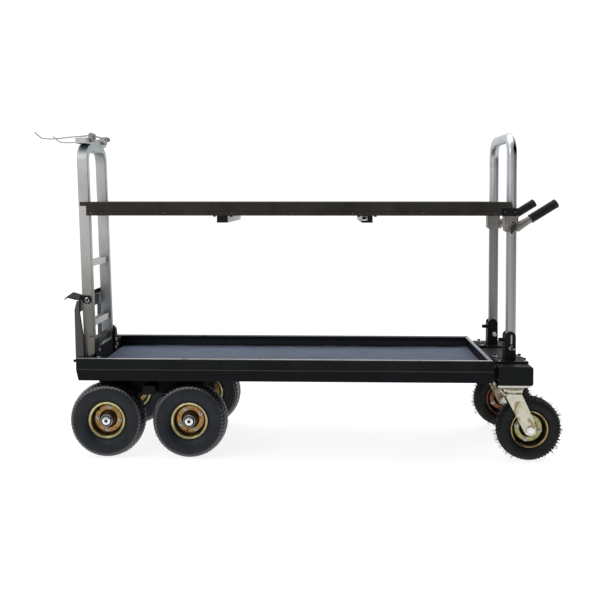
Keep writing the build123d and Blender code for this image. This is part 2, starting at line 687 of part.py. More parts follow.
def shelf_mat():
    z0 = SHELF_FLOOR_Z + 2.5
    reach = SHELF_HALF_W - 5
    return box(SHELF_X0 + 4, SHELF_X1 - 1, -reach, reach, z0, z0 + 5)


def shelf_cross_rails():
    """Aluminium channels under the shelf, open side down."""
    solids = []
    for x0, x1 in CROSS_RAILS:
        rail = box(x0, x1, -SHELF_HALF_W + 6, SHELF_HALF_W - 6, CROSS_RAIL_Z0, SHELF_Z0)
        solids.append(rail - box(x0 + 3, x1 - 3, -SHELF_HALF_W, SHELF_HALF_W, CROSS_RAIL_Z0 - 1, SHELF_Z0 - 3))
    return solids


def shelf_rail_clips():
    """End clips of the cross rails with their flange screws."""
    solids = []
    for index, (x0, x1) in enumerate(CROSS_RAILS):
        y0, y1 = -SHELF_HALF_W, -SHELF_HALF_W + 6
        clip = box(x0, x1, y0, y1, CROSS_RAIL_Z0, SHELF_Z0)
        if index == 1:
            clip -= box(x0 - 1, x0 + 20, y0 - 1, y1 + 1, CROSS_RAIL_Z0 + 8, SHELF_Z0 - 2)
        solids.extend(both(clip))
        for dx in (-9.5, 9.5):
            x = (x0 if dx < 0 else x1) + dx
            solids.extend(both(rod_z(x, y0 + 14, SHELF_Z0 - 4, SHELF_Z0, 5)))
    return solids


# ---------------------------------------------------------------- write every node
save("side_rails", both(side_rail()))
save("tray_end_walls", tray_end_walls())
save("tray_floor", tray_floor())
save("tray_carpet", tray_carpet())
save("cross_members", cross_members())
save("end_beam", end_beam())
save("beam_spacers", beam_spacers())
save("axle_carrier", axle_carrier())
save("rear_axles", rear_axles())
save("axle_end_bolts", axle_end_bolts())
save("caster_plates", both(caster_plate()))
save("caster_kingpins", both(caster_kingpin()))
save("socket_plates", both(socket_plate()))
save("socket_brackets", both(socket_bracket()))
save("socket_bolts", socket_bolts())
save("pivot_bolts", pivot_bolts())
save("plunger_barrels", both(plunger_barrel()))
save("ladder_frame", ladder_frame())
save("ladder_rungs", ladder_rungs())
save("ladder_feet", both(ladder_foot()))
save("ladder_gussets", both(ladder_gusset()))
save("frame_bolts", frame_bolts())
save("hook_plate", hook_plate())
save("hook_rack", hook_rack())
save("latch_bail", latch_bail())
save("toe_frame", toe_frame())
save("toe_brackets", toe_brackets())
save("handle_loop", handle_loop())
save("shelf_side_rails", both(shelf_side_rail()))
save("shelf_ends", shelf_ends())
save("shelf_post_clamps", both(shelf_post_clamp()))
save("shelf_panel", shelf_panel())
save("shelf_mat", shelf_mat())
save("shelf_cross_rails", shelf_cross_rails())
save("shelf_rail_clips", shelf_rail_clips())

for side in SIDES:
    label = SIDE_NAMES[side]
    save(f"{label}_post", on_side(post(), side))
    save(f"{label}_collar", on_side(collar(), side))
    save(f"{label}_grip", on_side(grip(), side))
    save(f"{label}_clamp_knob", on_side(clamp_knob(), side))
    save(f"{label}_plunger", on_side(plunger(), side))
    save(f"{label}_fork", [on_side(caster_fork(), side), on_side(caster_axle(), side)])

    caster_place = Pos(CASTER_X + CASTER_TRAIL, side * CASTER_Y, CASTER_R)
    core = wheel_core(bead_half=22, hub_r=19, hub_half=34.5, bore_r=6.06)
    save(f"{label}_caster_tyre", caster_place * tyre(CASTER_R, CASTER_W, 60.0, 22))
    save(f"{label}_caster_wheel", [caster_place * piece for piece in core])

    for position, x in zip(("outer", "inner"), REAR_XS):
        place = Pos(x, side * REAR_Y, REAR_R)
        core = wheel_core(bead_half=26, hub_r=20.5, hub_half=REAR_HUB_HALF, bore_r=AXLE_R + 0.06)
        save(f"{label}_{position}_rear_tyre", place * tyre(REAR_R, REAR_W, 60.0, 26))
        save(f"{label}_{position}_rear_wheel", [place * piece for piece in core])
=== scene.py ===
"""Looks of the equipment cart: paint, metals, rubber and felt, detailed wheels and small hardware.

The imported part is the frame, in metres with +Z up.  The push handle is at +X, "near" is -Y and
"far" is +Y.  Outlines and hardware sizes are in millimetres, and MM turns them into metres.
"""
import math
import random
from types import SimpleNamespace

import bmesh
import bpy
from mathutils import Matrix, Vector, noise


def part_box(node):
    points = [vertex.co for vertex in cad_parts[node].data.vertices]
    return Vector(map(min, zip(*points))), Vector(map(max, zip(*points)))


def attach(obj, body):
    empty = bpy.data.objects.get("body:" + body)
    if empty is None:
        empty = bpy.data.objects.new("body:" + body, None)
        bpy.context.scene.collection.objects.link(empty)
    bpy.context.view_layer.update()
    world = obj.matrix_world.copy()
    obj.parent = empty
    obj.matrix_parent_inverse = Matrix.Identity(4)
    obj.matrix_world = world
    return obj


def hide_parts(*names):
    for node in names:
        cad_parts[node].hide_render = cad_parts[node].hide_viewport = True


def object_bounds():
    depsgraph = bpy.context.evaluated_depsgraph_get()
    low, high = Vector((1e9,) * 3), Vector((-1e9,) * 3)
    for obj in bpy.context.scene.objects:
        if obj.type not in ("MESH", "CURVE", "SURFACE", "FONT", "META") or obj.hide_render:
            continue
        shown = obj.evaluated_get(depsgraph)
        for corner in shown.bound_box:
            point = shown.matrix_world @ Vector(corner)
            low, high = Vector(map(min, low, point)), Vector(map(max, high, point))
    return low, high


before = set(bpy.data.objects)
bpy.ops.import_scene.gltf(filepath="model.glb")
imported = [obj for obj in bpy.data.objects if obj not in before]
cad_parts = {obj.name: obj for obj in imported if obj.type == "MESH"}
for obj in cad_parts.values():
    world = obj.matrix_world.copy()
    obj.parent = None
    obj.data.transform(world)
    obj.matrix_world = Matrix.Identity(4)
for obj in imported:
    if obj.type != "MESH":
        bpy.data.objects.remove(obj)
CAD_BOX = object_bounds()
random.seed(11)

MM = 0.001
TAU = 2 * math.pi
SIDES = {"near": -1, "far": 1}
SHARP_ANGLE = math.radians(34)
FULL_METAL = 1.0


# ---------------------------------------------------------------- small mesh helpers
def centre_of(node):
    low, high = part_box(node)
    return (low + high) / 2


def facing(point, direction, turn=0.0):
    """Matrix whose local Z points along direction at point, turned about that axis."""
    aim = Vector(direction).to_track_quat("Z", "Y").to_matrix().to_4x4()
    return Matrix.Translation(point) @ aim @ Matrix.Rotation(turn, 4, "Z")


def around(angle, radius):
    """Point at that angle and radius in the local XY plane."""
    return Vector((math.cos(angle), math.sin(angle), 0)) * radius


def raised(height, offset=Vector((0, 0, 0))):
    """Matrix that moves by offset and by height along local Z, both in mm."""
    return Matrix.Translation((offset + Vector((0, 0, height))) * MM)


def lathe(bm, profile, steps, place, closed=True, shape=None):
    """Turns an outline of (radius, height) in mm about local Z, and caps an open one at both ends."""
    rings = []
    for i in range(steps):
        angle = TAU * i / steps
        ring = []
        for radius, height in profile:
            if shape:
                radius, height = shape(angle, radius, height)
            point = Vector((radius * math.cos(angle), radius * math.sin(angle), height)) * MM
            ring.append(bm.verts.new(place @ point))
        rings.append(ring)
    count = len(profile)
    for i in range(steps):
        here, there = rings[i], rings[(i + 1) % steps]
        for k in range(count if closed else count - 1):
            m = (k + 1) % count
            bm.faces.new((here[k], there[k], there[m], here[m]))
    if not closed:
        for k in (0, -1):
            bm.faces.new([ring[k] for ring in rings])


def plug(bm, profile, steps, place):
    """Solid of revolution from an open outline, capped at both ends."""
    lathe(bm, profile, steps, place, closed=False)


def tube(bm, points, radius_at, place=Matrix.Identity(4), sides=8, loop=False):
    """Solid tube along points in mm, with radius_at(index) in mm."""
    rings = []
    count = len(points)
    for i, point in enumerate(points):
        before = points[i - 1] if (i or loop) else point
        after = points[(i + 1) % count] if (i + 1 < count or loop) else point
        turn = (Vector(after) - Vector(before)).to_track_quat("Z", "Y")
        ring = []
        for k in range(sides):
            angle = TAU * k / sides
            offset = turn @ Vector((math.cos(angle), math.sin(angle), 0)) * radius_at(i)
            ring.append(bm.verts.new(place @ ((Vector(point) + offset) * MM)))
        rings.append(ring)
    for i in range(count if loop else count - 1):
        here, there = rings[i], rings[(i + 1) % count]
        for k in range(sides):
            m = (k + 1) % sides
            bm.faces.new((here[k], here[m], there[m], there[k]))
    if not loop:
        for ring in (rings[0], rings[-1]):
            bm.faces.new(ring)


def arc(start, through, end, count):
    """Points on the circle arc from start through a point to end."""
    (ax, ay), (bx, by), (cx, cy) = start, through, end
    d = 2 * (ax * (by - cy) + bx * (cy - ay) + cx * (ay - by))
    a2, b2, c2 = ax * ax + ay * ay, bx * bx + by * by, cx * cx + cy * cy
    ux = (a2 * (by - cy) + b2 * (cy - ay) + c2 * (ay - by)) / d
    uy = (a2 * (cx - bx) + b2 * (ax - cx) + c2 * (bx - ax)) / d
    radius = math.hypot(ax - ux, ay - uy)
    first = math.atan2(ay - uy, ax - ux)
    middle = (math.atan2(by - uy, bx - ux) - first) % TAU
    last = (math.atan2(cy - uy, cx - ux) - first) % TAU
    if middle > last:
        last -= TAU
    angles = [first + last * k / count for k in range(count + 1)]
    return [(ux + radius * math.cos(a), uy + radius * math.sin(a)) for a in angles]


HEX_CHAMFER, WASHER_EDGE, THREAD_DEPTH = 1.0, 0.3, 0.6


def hexagon(bm, place, across, height):
    """Hexagonal head or nut with a chamfered outer rim, standing on local Z 0."""
    radius = across / math.sqrt(3)
    profile = [(radius, 0), (radius, height - HEX_CHAMFER), (radius - HEX_CHAMFER, height)]
    plug(bm, profile, 6, place)


def washer(bm, place, radius, height):
    inner = radius - WASHER_EDGE
    plug(bm, [(inner, 0), (radius, WASHER_EDGE), (radius, height - WASHER_EDGE), (inner, height)],
         32, place)


def threaded_stud(bm, place, radius, length, pitch=1.5):
    """Stud with its thread drawn as separate rings."""
    root = radius - THREAD_DEPTH
    profile = [(root, 0)]
    for k in range(int(length / pitch)):
        profile += [(radius, (k + 0.4) * pitch), (root, (k + 0.9) * pitch)]
    plug(bm, profile + [(radius - 1.0, length)], 20, place)


def piece(name, bm, body, materials, stands_for=()):
    """Makes the object, marks its sharp edges and ties it to its CAD body."""
    bmesh.ops.recalc_face_normals(bm, faces=bm.faces)
    for face in bm.faces:
        face.smooth = True
    for edge in bm.edges:
        edge.smooth = edge.calc_face_angle(0.0) < SHARP_ANGLE
    mesh = bpy.data.meshes.new(name)
    bm.to_mesh(mesh)
    bm.free()
    for material in materials:
        mesh.materials.append(material)
    obj = bpy.data.objects.new(name, mesh)
    bpy.context.scene.collection.objects.link(obj)
    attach(obj, body)
    if stands_for:
        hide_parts(*stands_for)
    return obj


def smooth_step(low, high, value):
    t = min(1.0, max(0.0, (value - low) / (high - low)))
    return t * t * (3 - 2 * t)


def shade(colour, factor):
    return tuple(c * factor for c in colour)


def times(colour, other):
    return tuple(a * b for a, b in zip(colour, other))


def set_range(node, *limits):
    """Sets a Map Range node's limits and returns its result."""
    for key, number in zip(("From Min", "From Max", "To Min", "To Max"), limits):
        node.inputs[key].default_value = number
    return node.outputs["Result"]


# ---------------------------------------------------------------- material graphs
class Graph:
    """One material's node tree, with short ways to add the nodes used here."""

    def __init__(self, name, metallic=0.0, roughness=0.5, specular=0.5):
        self.material = bpy.data.materials.new(name)
        self.material.use_nodes = True
        self.tree = self.material.node_tree
        self.shader = self.tree.nodes["Principled BSDF"]
        self.shader.inputs["Metallic"].default_value = metallic
        self.shader.inputs["Roughness"].default_value = roughness
        self.shader.inputs["Specular IOR Level"].default_value = specular

    def node(self, kind, **values):
        made = self.tree.nodes.new("ShaderNode" + kind)
        for key, value in values.items():
            setattr(made, key, value)
        return made

    def feed(self, socket, value):
        if isinstance(value, bpy.types.NodeSocket):
            self.tree.links.new(value, socket)
        else:
            socket.default_value = value

    def to(self, name, value):
        self.feed(self.shader.inputs[name], value)

    def place(self):
        return self.node("TexCoord").outputs["Object"]

    def stretched(self, scale):
        mapping = self.node("Mapping")
        self.feed(mapping.inputs["Vector"], self.place())
        mapping.inputs["Scale"].default_value = scale
        return mapping.outputs["Vector"]

    def noise(self, scale, detail=4.0, rough=0.55, vector=None, distortion=0.0):
        made = self.node("TexNoise")
        self.feed(made.inputs["Vector"], vector or self.place())
        made.inputs["Scale"].default_value = scale
        made.inputs["Detail"].default_value = detail
        made.inputs["Roughness"].default_value = rough
        made.inputs["Distortion"].default_value = distortion
        return made.outputs[0]

    def cells(self, scale):
        made = self.node("TexVoronoi", feature="F1")
        self.feed(made.inputs["Vector"], self.place())
        made.inputs["Scale"].default_value = scale
        return made.outputs["Distance"]

    def ramp(self, fac, stops):
        """Colour ramp through stops of (position, colour)."""
        made = self.node("ValToRGB")
        elements = made.color_ramp.elements
        while len(elements) < len(stops):
            elements.new(0.5)
        for element, (position, colour) in zip(elements, stops):
            element.position = position
            element.color = (*colour, 1.0)
        self.feed(made.inputs["Fac"], fac)
        return made.outputs["Color"]

    def range(self, value, low, high, to_low=0.0, to_high=1.0):
        made = self.node("MapRange")
        self.feed(made.inputs["Value"], value)
        return set_range(made, low, high, to_low, to_high)

    def spots(self, noise_of, low, high, to_low=0.0, to_high=1.0):
        """Noise of (scale, detail, roughness), mapped to a range."""
        return self.range(self.noise(*noise_of), low, high, to_low, to_high)

    def math(self, operation, a, b=0.0):
        made = self.node("Math", operation=operation)
        self.feed(made.inputs[0], a)
        self.feed(made.inputs[1], b)
        return made.outputs[0]

    def product(self, first, *others):
        for other in others:
            first = self.math("MULTIPLY", first, other)
        return first

    def mix(self, fac, a, b):
        made = self.node("Mix", data_type="RGBA")
        self.feed(made.inputs[0], fac)
        self.feed(made.inputs[6], a if not isinstance(a, tuple) else (*a, 1.0))
        self.feed(made.inputs[7], b if not isinstance(b, tuple) else (*b, 1.0))
        return made.outputs[2]

    def axis(self, name):
        split = self.node("SeparateXYZ")
        self.feed(split.inputs[0], self.place())
        return split.outputs[name]

    def rounded(self, radius_mm):
        made = self.node("Bevel", samples=4)
        made.inputs["Radius"].default_value = radius_mm * MM
        return made.outputs["Normal"]

    def worn_edge(self, radius_mm, noise_scale):
        """1 along convex and concave edges where noise lets the finish rub through."""
        dot = self.node("VectorMath", operation="DOT_PRODUCT")
        self.feed(dot.inputs[0], self.rounded(radius_mm))
        self.feed(dot.inputs[1], self.node("NewGeometry").outputs["Normal"])
        edge = self.range(dot.outputs["Value"], 0.97, 0.84)
        patchy = self.spots((noise_scale, 5.0, 0.7), 0.5, 0.62)
        return self.product(edge, patchy)

    def bump(self, height, distance_mm, strength, normal=None):
        made = self.node("Bump")
        made.inputs["Strength"].default_value = strength
        made.inputs["Distance"].default_value = distance_mm * MM
        self.feed(made.inputs["Height"], height)
        if normal:
            self.feed(made.inputs["Normal"], normal)
        return made.outputs["Normal"]


    def finish(self, colour, roughness, normal):
        """Feeds the three main inputs and returns the material."""
        self.to("Base Color", colour)
        self.to("Roughness", roughness)
        self.to("Normal", normal)
        return self.material


COAL = ((0.0054, 0.0064, 0.0063), (0.0106, 0.0125, 0.0120))
WARM_BLACK = ((0.021, 0.0185, 0.0155), (0.037, 0.033, 0.028))
SHADOW_BLUE = (0.0050, 0.0062, 0.0080)
DUST, RUBBED_PAINT = (0.11, 0.105, 0.095), (0.24, 0.23, 0.21)
# Painted highlights along the deck rail's step and along the shelf's top edge.
STEP_HIGHLIGHT, TOP_EDGE_HIGHLIGHT = (0.085, 0.088, 0.085), (0.105, 0.098, 0.088)
# Painted light on the deck rail's inner face.
INNER_FACE_LIGHT = (0.034, 0.038, 0.048)
# Tint of the painted reflection on the ladder's top bends.
BEND_REFLECTION_TINT = (0.66, 0.75, 0.78)
# Tints of the painted shade low on the aluminium: warm, and cool on a bent frame's far rail.
WARM_SHADE_TINT, COOL_SHADE_TINT = (1.02, 0.99, 0.95), (1.27, 1.36, 1.46)
CAST_EDGE, CAST_PIT = (0.74, 0.73, 0.70), (0.2, 0.19, 0.17)
PLATE_END_DARK, GRIME = (0.03, 0.03, 0.03), (0.09, 0.06, 0.03)
RAIL_TOP, RAIL_INNER_Y, FLANGE_MIDDLE_Y, RAIL_END_X = 0.3362, 0.2586, 0.248, -0.72
HANDLE_WALL_X = 0.6


def black_powder_coat(name, bare_mask=None, tints=COAL, step_z=0.0, highlight_above=0.0,
                      bare=(0.62, 0.62, 0.60)):
    """Satin black powder coat: orange peel, light dust, rubbed edges and, where asked, bare metal.

    A rail with a step at height step_z carries a painted highlight along the step, is bluer below it
    with painted shade and greyer on its inner face with painted light.  highlight_above is the height
    above which the top edge carries a painted highlight.
    """
    g = Graph(name, roughness=0.5, specular=0.08)
    smudge = g.noise(9.0, 5.0, 0.6)
    colour = g.ramp(smudge, [(0.35, tints[0]), (0.7, tints[1])])
    dust = g.spots((420.0, 6.0, 0.75), 0.62, 0.8, 0.0, 0.1)
    colour = g.mix(dust, colour, DUST)
    colour = g.mix(g.product(g.worn_edge(0.9, 60.0), 0.4), colour, RUBBED_PAINT)
    rough = g.spots((26.0, 5.0, 0.65), 0.3, 0.75, 0.44, 0.62)
    # Painted shade below the step, a painted highlight along it and painted light on the inner face.
    if step_z:
        height = g.axis("Z")
        colour = g.mix(g.range(height, step_z, step_z - MM), colour, SHADOW_BLUE)
        above = g.range(height, step_z - 1.6 * MM, step_z - MM)
        below = g.range(height, step_z + 1.6 * MM, step_z + MM)
        colour = g.mix(g.product(above, below, 0.6), colour, STEP_HIGHLIGHT)
        inside = g.range(g.math("ABSOLUTE", g.axis("Y")), RAIL_INNER_Y, RAIL_INNER_Y - 0.6 * MM)
        under_top = g.range(height, RAIL_TOP, RAIL_TOP - 0.4 * MM)
        over_step = g.range(height, step_z, step_z + MM)
        colour = g.mix(g.product(inside, under_top, over_step), colour, INNER_FACE_LIGHT)
    # Painted highlight on the top edge above the given height.
    if highlight_above:
        top_highlight = g.range(g.axis("Z"), highlight_above, highlight_above + 0.4 * MM, 0.0, 0.8)
        colour = g.mix(top_highlight, colour, TOP_EDGE_HIGHLIGHT)
    if bare_mask:
        mask = bare_mask(g)
        colour = g.mix(mask, colour, bare)
        g.to("Metallic", mask)
    return g.finish(colour, rough, g.bump(g.noise(900.0, 2.0, 0.5), 0.05, 0.5, g.rounded(1.0)))


def rubbed_rim(g):
    """Bare strip along the inner part of the rail's top flange, broken where paint still holds."""
    high = g.range(g.axis("Z"), RAIL_TOP - MM, RAIL_TOP + 0.2 * MM)
    across = g.math("ABSOLUTE", g.axis("Y"))
    inner = g.range(across, FLANGE_MIDDLE_Y + 0.3 * MM, FLANGE_MIDDLE_Y - 0.3 * MM)
    near_first = g.range(g.axis("Y"), -0.1, 0.1, 1.0, 0.2)
    along = g.range(g.noise(5.0, 4.0, 0.7, g.stretched((3.0, 0.01, 0.01))), 0.36, 0.43)
    return g.product(high, inner, near_first, along)


def gusset_bolts_only(g):
    """The bolts inside the tray are bare, the stub bolts at the open rail ends are painted."""
    return g.range(g.axis("X"), RAIL_END_X, RAIL_END_X + 0.5 * MM)


def bare_wall_flange(g):
    """The end wall's top flange at the handle end is unpainted."""
    high = g.range(g.axis("Z"), RAIL_TOP - 0.7 * MM, RAIL_TOP)
    return g.product(high, g.range(g.axis("X"), HANDLE_WALL_X, HANDLE_WALL_X + 10 * MM))


def brushed_aluminium(name, grain, tint, roughness=(0.45, 0.6), painted_below=0.0, shade_below=None,
                      stained=0.4, bent_above=None):
    """Drawn or brushed aluminium.  grain is the noise scale along each axis, small along the lines.

    Anything lower than painted_below, in metres, carries the deck's black paint.  handled is the
    height to start at, the height to end at and how dark the painted shade under the shelf gets
    there.
    bent_above is a range of heights over which the brushing fades into smoother metal, and the bends
    take a darker, bluer tint as a painted reflection of the dark surroundings.  A bent frame's far
    rail takes a cooler painted shade than its near one.
    """
    g = Graph(name, metallic=FULL_METAL)
    lines = g.noise(1.0, 5.0, 0.7, g.stretched(grain))
    clouds = g.noise(6.0, 5.0, 0.6)
    colour = g.mix(g.range(clouds, 0.3, 0.72), shade(tint, 0.8), tint)
    scratches = g.noise(1.0, 2.0, 0.5, g.stretched(shade(grain, 0.45)))
    scratches = g.range(scratches, 0.56, 0.66, 0.0, 0.3)
    colour = g.mix(scratches, colour, shade(tint, 1.1))
    stain = g.spots((34.0, 6.0, 0.8), 0.6, 0.78, 0.0, stained)
    colour = g.mix(stain, colour, shade(tint, 0.42))
    # Painted shade: the metal darkens downwards between the two heights, for the shade under the
    # shelf.
    if shade_below:
        start, end, darkness = shade_below
        ragged = g.math("ADD", g.axis("Z"), g.range(clouds, 0.3, 0.7, -0.03, 0.03))
        shade_mask = g.range(ragged, start, end)
        warm_shade, cool_shade = (times(shade(tint, darkness), shade_tint) for shade_tint in (WARM_SHADE_TINT, COOL_SHADE_TINT))
        # The far rail of a bent frame takes a cooler painted shade than its near one.
        if bent_above:
            warm_shade = g.mix(g.range(g.axis("Y"), -0.02, 0.02), warm_shade, cool_shade)
        colour = g.mix(shade_mask, colour, warm_shade)
    # Painted reflection: the bends take a darker, bluer tint for the dark surroundings they mirror.
    if bent_above:
        height = g.axis("Z")
        colour = g.mix(g.range(height, *bent_above), colour, times(tint, BEND_REFLECTION_TINT))
        lines = g.product(lines, g.range(height, *bent_above, 1.0, 0.0))
        lines = g.math("ADD", lines, g.range(height, *bent_above, 0.0, 0.5))
    if painted_below:
        painted = g.range(g.axis("Z"), painted_below, painted_below - MM)
        colour = g.mix(painted, colour, COAL[1])
        g.to("Metallic", g.math("SUBTRACT", FULL_METAL, painted))
    return g.finish(colour, g.range(lines, 0.3, 0.72, *roughness),
                    g.bump(lines, 0.04, 0.25, g.rounded(0.8)))


def cast_aluminium(name, dull, clean):
    g = Graph(name, metallic=FULL_METAL)
    grain = g.noise(700.0, 5.0, 0.7)
    pits = g.range(g.cells(420.0), 0.0, 0.12)
    colour = g.ramp(g.noise(40.0, 5.0, 0.6), [(0.3, dull), (0.7, clean)])
    colour = g.mix(g.product(g.worn_edge(1.2, 80.0), 0.5), colour, CAST_EDGE)
    return g.finish(g.mix(g.range(pits, 0.0, 1.0, 0.35, 0.0), colour, CAST_PIT),
                    g.range(grain, 0.3, 0.7, 0.42, 0.6),
                    g.bump(g.math("ADD", grain, pits), 0.12, 0.5, g.rounded(1.6)))


def bright_zinc(name, tint=(0.72, 0.72, 0.70), roughness=(0.16, 0.34), stain=(0.42, 0.37, 0.27),
                dark_before=None):
    """Zinc plate: bright, faintly spangled, a little stained, and near black at X below dark_before.
    """
    g = Graph(name, metallic=FULL_METAL)
    spangle = g.noise(120.0, 6.0, 0.7)
    colour = g.mix(g.spots((28.0, 5.0, 0.7), 0.52, 0.72, 0.0, 0.7), tint, stain)
    colour = g.mix(g.range(spangle, 0.55, 0.75, 0.0, 0.4), colour, shade(tint, 0.6))
    # The plate is coloured near black at X below dark_before.
    if dark_before:
        end_dark = g.range(g.axis("X"), dark_before, dark_before - 0.5 * MM)
        colour = g.mix(end_dark, colour, PLATE_END_DARK)
    return g.finish(colour, g.range(spangle, 0.3, 0.7, *roughness),
                    g.bump(g.noise(300.0, 3.0, 0.5), 0.03, 0.4, g.rounded(0.6)))


def yellow_zinc(name, stops, roughness, scale=24.0):
    """Yellow passivated zinc: its colour drifts between gold, olive and rose."""
    g = Graph(name, metallic=FULL_METAL)
    drift = g.noise(scale, 5.0, 0.62, distortion=0.9)
    colour = g.ramp(drift, stops)
    grime = g.spots((90.0, 6.0, 0.8), 0.55, 0.75, 0.0, 0.5)
    colour = g.mix(grime, colour, GRIME)
    return g.finish(colour, g.spots((60.0, 4.0, 0.6), 0.3, 0.7, *roughness),
                    g.bump(g.noise(260.0, 3.0, 0.5), 0.04, 0.4, g.rounded(0.8)))


def polished_steel(name, tint=(0.74, 0.74, 0.75)):
    g = Graph(name, metallic=FULL_METAL)
    handling = g.noise(160.0, 5.0, 0.65)
    return g.finish(g.mix(g.range(handling, 0.5, 0.7, 0.0, 0.5), tint, shade(tint, 0.62)),
                    g.range(handling, 0.3, 0.7, 0.1, 0.28),
                    g.bump(handling, 0.02, 0.3, g.rounded(0.4)))


def rubber(name, tint, dust_tint, dust, roughness, grain=900.0, gloss=0.25):
    """Rubber with moulding grain and grey dust in patches."""
    g = Graph(name, roughness=roughness, specular=gloss)
    patches = g.spots((16.0, 6.0, 0.7), 0.48, 0.78, 0.0, dust)
    specks = g.spots((330.0, 5.0, 0.8), 0.6, 0.74, 0.0, dust)
    colour = g.mix(g.math("MAXIMUM", patches, specks), tint, dust_tint)
    return g.finish(colour, g.spots((40.0, 4.0, 0.6), 0.3, 0.7, roughness - 0.1, roughness + 0.14),
                    g.bump(g.noise(grain, 3.0, 0.6), 0.08, 0.5))


def felt(name, dark, light):
    """Needle-punched felt: short crossing fibres, pale specks, soft sheen."""
    g = Graph(name, roughness=0.96, specular=0.15)
    fibres = g.noise(1.0, 6.0, 0.75, g.stretched((900.0, 2600.0, 900.0)))
    crossed = g.noise(1.0, 6.0, 0.75, g.stretched((2600.0, 800.0, 900.0)))
    both = g.product(g.math("ADD", fibres, crossed), 0.5)
    middle = tuple((a + b) / 2 for a, b in zip(dark, light))
    colour = g.ramp(both, [(0.34, dark), (0.52, middle), (0.68, light)])
    clouds = g.spots((7.0, 5.0, 0.6), 0.35, 0.7, 0.0, 0.4)
    colour = g.mix(clouds, colour, shade(dark, 0.8))
    lint = g.spots((520.0, 3.0, 0.8), 0.66, 0.76, 0.0, 0.6)
    mottle = g.spots((260.0, 4.0, 0.7), 0.36, 0.62, 0.55, 0.0)
    colour = g.mix(mottle, colour, dark)
    g.to("Base Color", g.mix(lint, colour, shade(light, 3.0)))
    g.shader.inputs["Sheen Weight"].default_value = 0.25
    g.shader.inputs["Sheen Roughness"].default_value = 0.5
    g.to("Normal", g.bump(both, 0.9, 0.8))
    return g.material


def dark_plastic(name, tint, roughness=0.45):
    g = Graph(name, roughness=roughness, specular=0.4)
    return g.finish(g.mix(g.spots((30.0, 5.0, 0.6), 0.35, 0.75), tint, shade(tint, 1.9)),
                    g.spots((90.0, 4.0, 0.6), 0.3, 0.7, roughness - 0.08, roughness + 0.12),
                    g.bump(g.noise(1200.0, 2.0, 0.5), 0.05, 0.5, g.rounded(0.6)))


GRAIN_X = (6.0, 900.0, 900.0)
GRAIN_Y = (900.0, 6.0, 900.0)
GRAIN_Z = (900.0, 900.0, 6.0)
LIP_GREEN = [(0.30, (0.46, 0.33, 0.19)), (0.44, (0.54, 0.52, 0.26)), (0.55, (0.40, 0.36, 0.17)),
             (0.66, (0.50, 0.34, 0.20)), (0.80, (0.60, 0.64, 0.32))]
# Rear rim bowl wall: dark brown as painted shade and painted reflection of the tyre.
BOWL_SHADE_BROWN = [(0.30, (0.050, 0.030, 0.014)), (0.50, (0.085, 0.050, 0.021)),
              (0.75, (0.045, 0.035, 0.020))]
DISC_COPPER = [(0.30, (0.30, 0.135, 0.050)), (0.45, (0.40, 0.22, 0.085)), (0.56, (0.29, 0.20, 0.070)),
               (0.68, (0.37, 0.14, 0.055)), (0.80, (0.34, 0.27, 0.12))]
CASTER_GOLD = [(0.30, (0.36, 0.21, 0.08)), (0.44, (0.46, 0.39, 0.17)), (0.52, (0.32, 0.17, 0.07)),
               (0.62, (0.60, 0.58, 0.26)), (0.82, (0.44, 0.44, 0.20))]
# Caster rim bowl wall: near black as painted shade and painted reflection of the tyre.
GROOVE_SHADE_BLACK = [(0.30, (0.014, 0.011, 0.008)), (0.75, (0.026, 0.019, 0.012))]
CASTER_GREEN = [(0.30, (0.34, 0.20, 0.08)), (0.44, (0.36, 0.35, 0.14)), (0.55, (0.26, 0.28, 0.11)),
                (0.66, (0.42, 0.22, 0.10)), (0.80, (0.42, 0.40, 0.20))]
# Far caster rim: a darker red zinc standing for painted shade.
FAR_CASTER_SHADE_RED = [(0.30, (0.20, 0.075, 0.045)), (0.50, (0.27, 0.11, 0.065)), (0.75, (0.16, 0.07, 0.045))]
RACE_GREY = [(0.30, (0.17, 0.16, 0.11)), (0.50, (0.22, 0.215, 0.155)), (0.62, (0.19, 0.14, 0.07)),
             (0.78, (0.25, 0.24, 0.18))]
FORK_GREY = [(0.30, (0.47, 0.465, 0.39)), (0.47, (0.58, 0.575, 0.475)), (0.57, (0.44, 0.40, 0.28)),
             (0.63, (0.24, 0.16, 0.08)), (0.70, (0.43, 0.39, 0.27)), (0.82, (0.60, 0.59, 0.50))]
# The far fork's palette: the fork zinc dimmed as painted shade.
FAR_FORK_SHADE_GREY = [(0.30, (0.38, 0.37, 0.30)), (0.47, (0.47, 0.46, 0.37)), (0.57, (0.36, 0.32, 0.22)),
                 (0.63, (0.22, 0.15, 0.08)), (0.70, (0.34, 0.30, 0.20)), (0.82, (0.47, 0.46, 0.38))]

BLACK = black_powder_coat("black_powder_coat")
# The shelf's top edge carries a painted highlight.
SHELF_BLACK = black_powder_coat("shelf_powder_coat", tints=WARM_BLACK, highlight_above=0.8652)
RAIL_BLACK = black_powder_coat("rail_powder_coat", rubbed_rim, step_z=0.304)
WALL_BLACK = black_powder_coat("wall_powder_coat", bare_wall_flange, bare=(0.30, 0.30, 0.335))
BOLT_BLACK = black_powder_coat("frame_bolt_finish", gusset_bolts_only)
# The ladder darkens downwards with painted shade, and its bends carry a painted reflection.
LADDER_METAL = brushed_aluminium("ladder_aluminium", GRAIN_Z, (0.51, 0.505, 0.495),
                                 shade_below=(0.74, 0.5, 0.40), bent_above=(1.008, 1.050))
RUNG_METAL = brushed_aluminium("rung_aluminium", GRAIN_Y, (0.52, 0.52, 0.51), painted_below=0.39)
# The near post and the handle loop darken downwards with painted shade.
TUBE_METAL = brushed_aluminium("handle_aluminium", GRAIN_Z, (0.50, 0.52, 0.545), (0.33, 0.46),
                               shade_below=(0.86, 0.78, 0.63))
